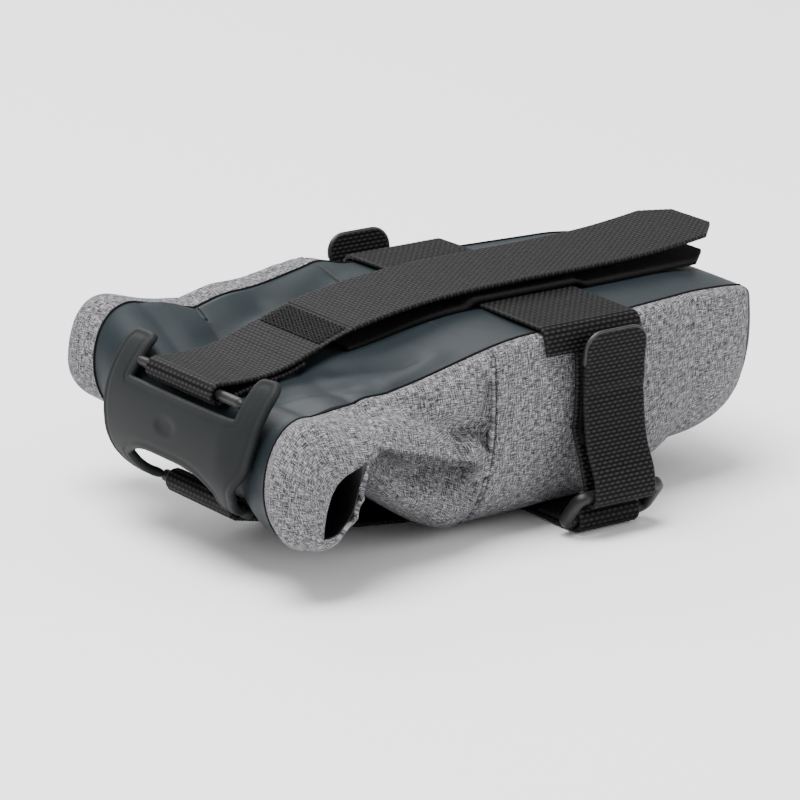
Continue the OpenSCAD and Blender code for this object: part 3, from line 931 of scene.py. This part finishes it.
def curl(x, z):
    """A fold that curls round a raised knob, open at its lower front."""
    dz = z / 0.78
    r, angle = np.hypot(x, dz), np.degrees(np.arctan2(dz, x))
    angle = np.where(angle < -90, angle + 360, angle)
    ring = smooth((angle + 40) / 25) * smooth((238 - angle) / 25)
    return -3.0 * bump(r - 5.2, 2.0) * ring + 1.6 * bump(r, 3.0)


def seam_pucker(x, z):
    """The side seam sinks in, and the fabric beside it puckers between the stitches."""
    pucker = 0.5 + 0.5 * np.sin(z * 1.9)
    return -(0.75 + 0.25 * pucker) * bump(x - SEAM_X, 0.55) - 0.35 * pucker * bump(x - SEAM_X, 2.2)


def roll_gathers(p):
    """Shallow gathers that run round the roll's ends."""
    x, y, z = p[..., 0], np.abs(p[..., 1]), p[..., 2]
    gathers = np.sin(np.arctan2(z - 28, x - ROLL_X) * 7 + 0.25 * y)
    return 0.5 * gathers * smooth((-56 - x) / 4) * smooth((y - 50) / 6)


def heather_relief(p, side):
    """Wrinkles of the folded sides, puckers along the seams and faint waviness."""
    x, z = p[..., 0], p[..., 2]
    strength = 1.0 if side == NEAR else 0.65
    folds = curl(x - CURL_X, z - CURL_Z) + creased(np.stack([x, z], axis=-1), WING_CREASES)
    on_wing = smooth((SEAM_X + 2 - x) / 2) * smooth((x + 52) / 6)
    total = 0.28 * waves(p, 6.5, 2.0 + side) + 0.10 * waves(p, 2.6, 4.0) + strength * folds * on_wing
    total = total + seam_pucker(x, z) + roll_gathers(p)
    return total * (1 - 0.25 * smooth((27 - z) / 4))


def relieved(patch, relief):
    """The patch with relief, faded out at its side edges so that it still meets its neighbours."""
    columns = patch.points.shape[1]
    j = np.arange(columns)
    fade = smooth(np.minimum(j, columns - 1 - j) / 4.0)[None, :]
    return patch.moved(relief(patch.points) * fade)


def slate_patches():
    roof_rows = list(front_grid(roof)) + [roof(x) for x in WING_ROWS[1:]]
    top = np.array(rows_to_roll(roof_rows, [roll_middle(a) for a in ROLL_ROWS]))
    rear_floor = [floor_strip(x) for x in WING_ROWS[1:] + FLAP_ROWS]
    floor_rows = np.array(list(front_grid(floor_strip)) + rear_floor)
    cap_shares = 1 - (1 - CAP_SHARE) * np.linspace(0, 1, 26) ** 3
    cap = [np.array([drawn_in(cut, v) for v in cap_shares])
           for cut in (roof(NOSE_START_X), section(NOSE_START_X, NEAR), section(NOSE_START_X, FAR),
                       floor_strip(NOSE_START_X))]
    return [relieved(Patch(top), slate_relief), Patch(floor_rows, flip=True), Patch(cap[0]),
            Patch(cap[1], flip=True), Patch(cap[2]), Patch(cap[3], flip=True)]


def side_points(side):
    return front_grid(lambda x: section(x, side))


def bend_at_neck(obj):
    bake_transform(obj)


def heather_patch(points, side):
    return relieved(Patch(points, flip=side == NEAR), lambda p: heather_relief(p, side))


slate = cloth_piece("slate_cover", slate_patches(), SLATE)
bend_at_neck(slate)
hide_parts("top_panel", "bottom_panel", "nose_panel", "neck_top", "neck_bottom", "roll_sheet")

for side, word in SIDES:
    cover = cloth_piece(f"{word}_side_cover", [heather_patch(side_points(side), side)], HEATHER)
    ride(cover, "bag", "heather_fabric", f"{word}_side_panel")
    flaps = [heather_patch(wing_upper(side), side), heather_patch(wing_lower(side), side)]
    wing = cloth_piece(f"{word}_wing_cover", flaps, HEATHER)
    bend_at_neck(wing)
    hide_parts(f"{word}_gusset", f"{word}_neck_side")
    edge = np.array([section(x, side)[0] for x in WING_ROWS])
    front_edge = side_points(side)[:, 0]
    roll_edge = np.array([roll_end(a, side)[0] for a in ROLL_ROWS[:60]])
    seam_path = np.vstack([front_edge, edge[1:], roll_edge])
    # Dark tube along the slate seam: the seam's binding, and partly a painted shadow of the seam's groove.
    seam = tube_piece(f"{word}_top_seam_and_shadow", seam_path, SEAM_RADIUS, GRIP, sides=8)
    bend_at_neck(seam)
    side_line = section(SEAM_X, side)
    sunk_line = side_line[2:-2] + [0, -side * 0.35, 0]
    stitches = stitch_piece(f"{word}_side_stitches", sunk_line, (0, side, 0), THREAD)
    ride(stitches, "bag", "black_tape")


SHELL_LINING_DEPTH, ROLL_LINING_DEPTH, LINING_THICKNESS = 3.7, 1.45, 0.3


def lining_patch(rows, flip, depth):
    return Patch(rows, flip=flip).moved(-depth)


def shell_lining():
    grids = [(front_grid(roof), False), (side_points(NEAR), True), (side_points(FAR), False),
             (front_grid(floor_strip), True)]
    return [lining_patch(grid, flip, SHELL_LINING_DEPTH) for grid, flip in grids]


def roll_lining():
    """Dark coated inside of the wound sheet, seen through its open ends."""
    parts = [lining_patch(np.array([roll_middle(a) for a in ROLL_ROWS]), False, ROLL_LINING_DEPTH)]
    for side in (NEAR, FAR):
        ends = np.array([roll_end(a, side)[:-3] for a in ROLL_ROWS])
        parts.append(lining_patch(ends, side == NEAR, ROLL_LINING_DEPTH))
    return parts


inner = cloth_piece("shell_lining", shell_lining(), LINING, LINING_THICKNESS, merge=False)
ride(inner, "bag", "lining_fabric", "lining")
wound = cloth_piece("wound_lining", roll_lining(), LINING, LINING_THICKNESS, merge=False)
ride(wound, "roll_top", "lining_fabric", "roll_lining")


# ---- Closure strap, grip strip and tail webbing, along the middle of the bag ----
LEFTWARDS = (0, -1, 0)
TOP_BAR, HINGE = (-79.4, 47.2), (-73.5, 14.2)
LOOP_RADIUS, FOLD_RADIUS = 2.6, 2.7
CLOSURE_RETURN = [[-52, 51], [-58, 49], [-66, 47.8], [-73, 46.3]]
CLOSURE_TOP = [[-74, 49.4], [-66, 49.6], [-58, 50.9], [-50, 53.6], [-40, 57], [-30, 59.2], [-16, 61.2],
               [0, 62.4], [20, 62.8], [40, 62.8], [60, 63.2], [75, 64.4], [91, 66.4]]
GRIP_X0, GRIP_X1 = -38, 88
STRAP_X0, RAIL_TOP_Z = 4, 59.15
WIDE = 32
RETURN_Z = 50       # the strap's upper part near its seam is above this, and its return is below
SEWN_X = (-46.3, -37.3)
TAPE_THICKNESS, GRIP_THICKNESS = 0.9, 1.2


def closure_path():
    loop = arc(TOP_BAR, LOOP_RADIUS, 285, 88, 24)
    top = spline(CLOSURE_TOP, 160)
    return in_xz(np.vstack([spline(CLOSURE_RETURN, 24), loop, top]))


def between(start, stop, soft=0.8):
    """1 between two distances along a path, fading over a short length at each end."""
    return lambda v: smooth((v - start) / soft + 0.5) * smooth((stop - v) / soft + 0.5)


def distance_at(path, x):
    """How far along the closure strap's path its upper part passes x."""
    s = lengths(path)
    upper = (path[:, 2] > RETURN_Z) & (np.arange(len(path)) > len(path) // 4)
    return s[upper][np.argmin(np.abs(path[upper, 0] - x))]


def closure_strap():
    path = closure_path()
    sewn = between(distance_at(path, SEWN_X[0] - 0.7), distance_at(path, SEWN_X[1] + 0.8))
    return strap_piece("closure_webbing", path, LEFTWARDS, WIDE, WEBBING, tip=clipped(7), flat=sewn)


def grip_z(x):
    over = smooth((x - STRAP_X0 + 5) / 4) * smooth((STRAP_X0 + WIDE + 5 - x) / 4)
    return mix(top_z(x) + CROWN + 0.5, RAIL_TOP_Z + 0.15, over) + 0.6


ride(closure_strap(), "closure_strap", "black_webbing", "closure_strap")
hook_path = in_xz(spline([[-4, 62.1], [0, 62.4], [20, 62.8], [40, 62.8], [58, 63.15]], 60)) - [0, 0, 1.2]
ride(strap_piece("closure_hooks", hook_path, LEFTWARDS, WIDE - 4, LOOP, TAPE_THICKNESS, ribbed=False),
     "closure_strap", "black_tape", "closure_hook_tape")
grip_path = in_xz([[x, grip_z(x)] for x in np.linspace(GRIP_X0, GRIP_X1, 90)])
ride(strap_piece("grip_binding", grip_path, LEFTWARDS, WIDE + 4, GRIP, GRIP_THICKNESS, ribbed=False,
                 tip=lambda left: clipped(9)(left) + 2.4 * smooth((left - 85) / 30), cell=0.5, step=0.5),
     "bag", "black_tape", "grip_strip")
tail_path = in_xz(np.vstack([[[2, 0.7], [-20, 0.7], [-34, 2.2], [-50, 5.6], [-67, 10.1]],
                             arc(HINGE, FOLD_RADIUS, 270, 50, 24), [[-69.4, 14.2], [-66, 12.3], [-58, 9.8]]]))
ride(strap_piece("tail_webbing_loop", tail_path, (0, 1, 0), WIDE, WEBBING), "bag", "black_webbing",
     "tail_webbing")


def bartack(name, path, start, stop, width, lift, material, pitch=0.75):
    """Dense zigzag stitching across a strap between two distances along its path."""
    s = lengths(path)
    parts = []
    for k, d in enumerate(np.arange(start, stop, pitch)):
        y = np.linspace(-width / 2, width / 2, int(width / 0.6))
        wobble = d + 0.28 * np.sin(y * 3.1 + 1.7 * k)
        points = np.stack([np.interp(wobble, s, path[:, 0]), y,
                           np.interp(wobble, s, path[:, 2]) + lift + 0.1 * np.sin(y * 5.2 + k)], axis=1)
        parts.append(tube_piece(name, points, 0.2, material, sides=6))
    return join(name, parts)


top_path = closure_path()
tack_start, tack_stop = (distance_at(top_path, x) for x in SEWN_X)
tack = bartack("closure_bartack", top_path, tack_start, tack_stop, WIDE - 3, 0.66, THREAD)
ride(tack, "closure_strap", "black_tape", "closure_stitch_block")


# ---- Rail strap, its side straps, rings and tabs ----
NARROW = 20
LOWER_BAR, UPPER_BAR = np.array([-49, 3.4]), np.array([-56, 12])
STRAP_X = {NEAR: 23.5, FAR: 13.5}
TAB_FOOT, TAB_GRIP = (-58.7, 12.6), (-52.7, 46.5)
TAB_TIP = {NEAR: (-54, 57), FAR: (-55, 62)}
RAIL_END = (48.4, 52.8)


def rail_path():
    y, z = -RAIL_END[0], RAIL_END[1]
    near = np.vstack([[[y - 0.4, z - 1.6], [y, z], [y + 0.4, z + 2.6]], arc((y + 3.5, 55.2), 3, 170, 95, 8)])
    crown = [[y, RAIL_TOP_Z - 0.7 - 0.00015 * y * y] for y in np.linspace(-42, 42, 21)]
    far = near[::-1] * [-1, 1]
    return in_yz(np.vstack([near, crown, far]), STRAP_X0 + WIDE / 2, NEAR)


DROP_CLEARANCE = 1.25


def drop_line():
    """The side strap's line down the bag's side to the ring, in the near side's (y, z)."""
    points = []
    for t in np.linspace(0.07, 0.34, 8):
        p, q = side_curve(3.5, t), side_curve(3.5, t + 0.01)
        along = unit(q - p)
        points.append([-(p[0] - along[1] * DROP_CLEARANCE), p[1] + along[0] * DROP_CLEARANCE])
    points += [[-50.8, 22], [UPPER_BAR[0] + FOLD_RADIUS, UPPER_BAR[1] + 2.2], UPPER_BAR + [FOLD_RADIUS, 0]]
    return spline(points, 60)


def shifted_out(line, distance):
    """A (y, z) line moved sideways: outwards for one that runs down, inwards for one that runs up."""
    tangent = unit(np.gradient(line, axis=0))
    return line + np.stack([tangent[:, 1], -tangent[:, 0]], axis=1) * distance


def tab_line(side):
    x, z = TAB_FOOT
    fold = arc(UPPER_BAR, FOLD_RADIUS, 360, 180, 18)
    tab = spline([[x, z], [x + 0.9, z + 5], [-54.4, 25.5], [-52.9, 36], TAB_GRIP, TAB_TIP[side]], 80)
    return np.vstack([fold, tab])


def rounded_loop(width, height, corner, count=10):
    """A rectangle with rounded corners, centred on 0."""
    points = []
    for cx, cy, start in ((1, 1, 0), (-1, 1, 90), (-1, -1, 180), (1, -1, 270)):
        centre = (cx * (width / 2 - corner), cy * (height / 2 - corner))
        points.append(arc(centre, corner, start, start + 90, count))
    return resample(np.vstack(points + [points[0][:1]]), 120)[:-1]


RING_WIDTH, RING_CORNER, RING_RADIUS, RIM_RADIUS = 27.4, 2.2, 1.62, 0.62


def ring_piece(word, side):
    rise = UPPER_BAR - LOWER_BAR
    flat = rounded_loop(RING_WIDTH, np.linalg.norm(rise), RING_CORNER)
    middle = (UPPER_BAR + LOWER_BAR) / 2
    across = unit(rise)
    path = np.stack([STRAP_X[side] + flat[:, 0], -side * (middle[0] + across[0] * flat[:, 1]),
                     middle[1] + across[1] * flat[:, 1]], axis=1)
    facing = (0, across[1], side * across[0])
    return tube_piece(f"{word}_ring_loop", path, RING_RADIUS, RING, sides=24, closed=True, normal=facing,
                      square=3.2)


def rim_piece(word, side):
    """The melted edge round the tab's end."""
    tip = np.array(TAB_TIP[side])
    lean_in = unit(tip - np.array(TAB_GRIP))
    corner, half = 5, NARROW / 2
    flat = np.vstack([[[-half, -9]], arc((-half + corner, -corner), corner, 180, 90, 8),
                      arc((half - corner, -corner), corner, 90, 0, 8), [[half, -6.5]]])
    flat = resample(flat, 60)
    path = np.stack([STRAP_X[side] + side * -flat[:, 0], -side * (tip[0] + lean_in[0] * flat[:, 1]),
                     tip[1] + lean_in[1] * flat[:, 1]], axis=1)
    return tube_piece(f"{word}_melted_rim", path, RIM_RADIUS, RIM_EDGE, normal=(0, 1, 0), square=2.6)


ride(strap_piece("rail_webbing", rail_path(), (1, 0, 0), WIDE, WEBBING), "bag", "black_webbing", "rail_strap")

for side, word in SIDES:
    x = STRAP_X[side]
    across = (-side, 0, 0)
    drop = strap_piece(f"{word}_drop_webbing", in_yz(drop_line(), x, side)[::-1], across, NARROW, WEBBING)
    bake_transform(drop)
    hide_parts(f"{word}_strap_drop")
    loop_part = drop_line()[:40]
    tape = strap_piece(f"{word}_loop_tape_fuzz", in_yz(shifted_out(loop_part, 1.2), x, side)[::-1], across,
                       NARROW - 2, LOOP, TAPE_THICKNESS, ribbed=False)
    ride(tape, "bag", "black_tape", f"{word}_loop_tape")
    round_bar = arc(LOWER_BAR, FOLD_RADIUS, 60, 270, 18)
    anchor_line = np.vstack([[[-32.5, 2.3], [-42, 2.3], [-45.3, 4.3]], round_bar, [[-26, 0.7], [-6, 0.7]]])
    anchor = strap_piece(f"{word}_anchor_webbing", in_yz(anchor_line, x, side), across, NARROW, WEBBING)
    ride(anchor, "bag", "black_webbing", f"{word}_ring_anchor")
    ride(ring_piece(word, side), f"{word}_ring", "ring_plastic", f"{word}_ring")
    line = tab_line(side)
    path = in_yz(line, x, side)
    total = lengths(path)[-1]
    tab = strap_piece(f"{word}_tab_webbing", path, across, NARROW, WEBBING, tip=rounded(5),
                      flat=between(total - 18.5, total - 15.5),
                      thicker=lambda v, end=total: 0.5 * smooth((v - end + 17.5) / 1.2))
    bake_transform(tab)
    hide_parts(f"{word}_strap_fold", f"{word}_tab")
    hook_line = spline([[-53.5, 32], [-52.9, 36], TAB_GRIP, [TAB_GRIP[0] - 0.37, TAB_GRIP[1] + 3]], 40)
    hook_path = in_yz(shifted_out(hook_line, 1.25), x, side)
    ride(strap_piece(f"{word}_hooks", hook_path, across, NARROW - 4, LOOP, TAPE_THICKNESS, ribbed=False),
         f"{word}_tab", "black_tape", f"{word}_hook_tape")
    ride(rim_piece(word, side), f"{word}_tab", "heat_cut_edge", f"{word}_tab_rim")


# ---- Tail plate: moulded rubber with a slot for the closure strap and an arch for the tail webbing ----
PLATE_LINE = [[-73.8, 53.4], [-77.6, 50], [-81.1, 44.8], [-83.8, 38.2], [-85, 31], [-84.6, 25],
              [-82.4, 20.2], [-79, 17], [-75.4, 15.2]]
# Half widths by height: (z, half width)
PLATE_OUTLINE = [(15.2, 22), (17, 24.3), (19.5, 27.3), (22, 29.3), (27, 31.4), (33, 32.8), (38, 33.6),
                 (48, 33.6)]
PLATE_THICK, PLATE_CORNER = 2.6, 3.6
PLATE_TOP, PLATE_LOW = 53.4, 15.2
SLOT_LOW, SLOT_NEAR, SLOT_FAR = 43.6, 25.5, 22.5
ARCH_TOP, ARCH_DROP, ARCH_HALF = 26.6, 4.0, 20.5
EDGE_ROUND, LIP_DEPTH, LIP_INSET, LIP_WIDTH = 1.2, 0.28, 2.1, 0.45
DIMPLE_DEPTH, DIMPLE_HALF, DIMPLE_Z = 0.55, (5.5, 2.6), 35.4


def plate_half(z):
    """Half width of the plate at a height, with rounded upper corners."""
    outline = np.interp(z, *np.transpose(PLATE_OUTLINE))
    up = clamp01((z - (PLATE_TOP - PLATE_CORNER)) / PLATE_CORNER)
    return outline - PLATE_CORNER * (1 - np.sqrt(1 - up ** 2))


def plate_surface(y, z):
    """The plate's middle surface: it bulges rearwards and its near edge wraps forward round the roll."""
    line = spline(PLATE_LINE, 160)[::-1]
    x = np.interp(z, line[:, 1], line[:, 0])
    bulge = 1.2 * (1 - (y / 33) ** 2) * smooth((z - 17) / 12) * smooth((50 - z) / 8)
    upper = smooth((z - 24) / 8)
    wrap = 2.6 * smooth((-y - 22) / 13) * upper
    return np.stack([x - bulge + wrap, y + np.where(y < 0, y, 0) * 0.075 * upper, z], axis=-1)


def even_ends(count):
    """Shares from 0 to 1, closer together at both ends."""
    t = np.linspace(0, 1, count)
    return mix(t, 0.5 - 0.5 * np.cos(math.pi * t), 0.8)


def plate_patches():
    """(y, z) grids of the plate: the middle band in three parts, two ears and two legs."""
    patches = []
    rows = even_ends(30)[:, None]
    cols = even_ends(60)[None, :]
    y_low = mix(-ARCH_HALF, ARCH_HALF, cols)
    y_high = mix(-SLOT_NEAR, SLOT_FAR, cols)
    low = ARCH_TOP - ARCH_DROP * np.abs(y_low / ARCH_HALF) ** 4
    z = mix(low, SLOT_LOW, rows)
    patches.append((mix(y_low, y_high, rows), z))
    narrow_cols = even_ends(22)[None, :]
    for sign, slot in ((-1, SLOT_NEAR), (1, SLOT_FAR)):
        z = mix(ARCH_TOP - ARCH_DROP, SLOT_LOW, rows) + 0 * narrow_cols
        inner = mix(ARCH_HALF, slot, rows)
        patches.append((sign * mix(inner, plate_half(z), narrow_cols), z))
        up = even_ends(26)[:, None]
        z = mix(SLOT_LOW, PLATE_TOP, up) + 0 * narrow_cols
        back_off = 1.8 * (1 - np.sqrt(1 - clamp01((z - PLATE_TOP + 1.8) / 1.8) ** 2))
        patches.append((sign * mix(slot + back_off, plate_half(z), narrow_cols), z))
        down = even_ends(24)[:, None]
        z = mix(PLATE_LOW, ARCH_TOP - ARCH_DROP, down) + 0 * narrow_cols
        inner = mix(18.4, ARCH_HALF, down ** 0.8)
        patches.append((sign * mix(inner, plate_half(z), narrow_cols), z))
    return patches


def outline_distance(points, faces):
    """Distance of each point to the nearest open edge of a surface."""
    edges = {}
    for face in faces:
        for a, b in zip(face, np.roll(face, -1)):
            key = (min(a, b), max(a, b))
            edges[key] = edges.get(key, 0) + 1
    rim = sorted({i for key, count in edges.items() if count == 1 for i in key})
    rim_points = points[rim]
    return np.array([np.min(np.linalg.norm(rim_points - p, axis=1)) for p in points]), set(rim)


def plate_sheet():
    """The plate's middle surface in one piece: its points, normals and faces."""
    bm = bmesh.new()
    for y, z in plate_patches():
        grid = [[bm.verts.new(p) for p in row] for row in plate_surface(y, z)]
        for i in range(len(grid) - 1):
            for j in range(len(grid[0]) - 1):
                bm.faces.new([grid[i][j], grid[i][j + 1], grid[i + 1][j + 1], grid[i + 1][j]])
    bmesh.ops.remove_doubles(bm, verts=bm.verts, dist=0.02)
    bmesh.ops.recalc_face_normals(bm, faces=bm.faces)
    bm.verts.index_update()
    points = np.array([v.co[:] for v in bm.verts])
    normals = np.array([v.normal[:] for v in bm.verts])
    normals *= np.where(np.mean(normals[:, 0]) > 0, -1, 1)
    faces = [[v.index for v in f.verts] for f in bm.faces]
    bm.free()
    return points, normals, faces


def tail_plate():
    """Both faces of the plate, with round edges, a lip along them and a plain oval dimple."""
    points, normals, faces = plate_sheet()
    distance, rim = outline_distance(points, faces)
    edge = np.sqrt(clamp01(1 - (1 - clamp01(distance / EDGE_ROUND)) ** 2))
    lip = LIP_DEPTH * bump(distance - LIP_INSET, LIP_WIDTH)
    from_dimple = np.hypot(points[:, 1] / DIMPLE_HALF[0], (points[:, 2] - DIMPLE_Z) / DIMPLE_HALF[1])
    dimple = DIMPLE_DEPTH * smooth((1 - from_dimple) * 2.2)
    front = points + normals * (PLATE_THICK / 2 * edge - lip - dimple)[:, None]
    back = points - normals * (PLATE_THICK / 2 * edge)[:, None]
    size = len(points)
    twin = [i if i in rim else i + size for i in range(size)]
    back_faces = [[twin[i] for i in face][::-1] for face in faces]
    obj = make_object("tail_plate_rubber", np.vstack([front, back]), faces + back_faces)
    edit_mesh(obj.data, drop_loose)
    obj.data.materials.append(RUBBER)
    edit_mesh(obj.data, turn_out)
    return obj


def rod_path(centre, start, stop):
    return [(centre[0], y, centre[1]) for y in np.linspace(start, stop, 40)]


plate = tail_plate()
top_rod = tube_piece("top_rod", rod_path(TOP_BAR, -28, 26), 1.5, RING, 20)
low_rod = tube_piece("low_rod", rod_path(HINGE, -21.6, 21.6), 1.7, RUBBER, 20)
plate = join("tail_plate_rubber", [plate, top_rod, low_rod])
ride(plate, "tail_plate", "rubber_plate", "tail_plate")


# ---- CAD pieces shown as they are ----
for node, material in (("base_stiffener", BOARD), ("lip_stiffener", BOARD), ("near_side_foam", FOAM),
                       ("far_side_foam", FOAM)):
    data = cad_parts[node].data
    data.materials.clear()
    data.materials.append(material)


# ---- Floor, light and camera ----
FLOOR_SIZE, FLOOR_DROP = 8, 0.0004


def floor_plane():
    lowest = min(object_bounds()[0][2], 0.0)
    bpy.ops.mesh.primitive_plane_add(size=FLOOR_SIZE, location=(0, 0, lowest - FLOOR_DROP))
    plane = bpy.context.object
    plane.name = "studio_floor"
    n = Nodes("studio_floor")
    cloud = n.cloud(900.0, 2.0)
    colour = n.tones(cloud, grey(0.93), grey(0.95))
    plane.data.materials.append(n.finish(colour, 0.9, Specular_IOR_Level=0.1))


def soft_light(name, place, size, power):
    data = bpy.data.lights.new(name, "AREA")
    data.shape = "DISK"
    data.size = size
    data.energy = power
    obj = bpy.data.objects.new(name, data)
    obj.location = place
    obj.rotation_euler = (Vector((0, 0, 0.03)) - Vector(place)).to_track_quat("-Z", "Y").to_euler()
    bpy.context.scene.collection.objects.link(obj)


CAMERA_AZIMUTH, CAMERA_ELEVATION, CAMERA_DISTANCE = -35.52, 18.13, 1.31934
CAMERA_TARGET = (0.004, 0, 0)
AIM_LEFT, AIM_UP = 0.00878218, 0.01963076      # how far the camera looks beside its target, as tangents
SENSOR_WIDTH, LENS = 36, 212.544


def camera_at_photo_angle():
    """The camera that matches the photo: its centre is a little off the bag's middle."""
    azimuth, elevation = math.radians(CAMERA_AZIMUTH), math.radians(CAMERA_ELEVATION)
    back = np.array([math.sin(azimuth) * math.cos(elevation), -math.cos(azimuth) * math.cos(elevation),
                     math.sin(elevation)])
    right = np.array([math.cos(azimuth), math.sin(azimuth), 0])
    up = np.cross(back, right)
    axis = -back - right * AIM_LEFT + up * AIM_UP
    data = bpy.data.cameras.new("photo_camera")
    data.sensor_width = SENSOR_WIDTH
    data.lens = LENS
    data.clip_start = 0.05
    obj = bpy.data.objects.new("photo_camera", data)
    obj.location = np.array(CAMERA_TARGET) + back * CAMERA_DISTANCE
    obj.rotation_euler = Vector(axis).to_track_quat("-Z", "Y").to_euler()
    bpy.context.scene.collection.objects.link(obj)
    bpy.context.scene.camera = obj


floor_plane()
soft_light("key", (-0.45, -0.05, 1.7), 1.2, 62)
soft_light("front", (0.9, -1.2, 0.7), 1.2, 9)
soft_light("back", (0.2, 1.3, 1.0), 1.0, 14)
world = bpy.data.worlds.new("studio")
world.use_nodes = True
background = world.node_tree.nodes["Background"]
background.inputs["Color"].default_value = (1, 1, 1, 1)
background.inputs["Strength"].default_value = 0.85
bpy.context.scene.world = world
camera_at_photo_angle()
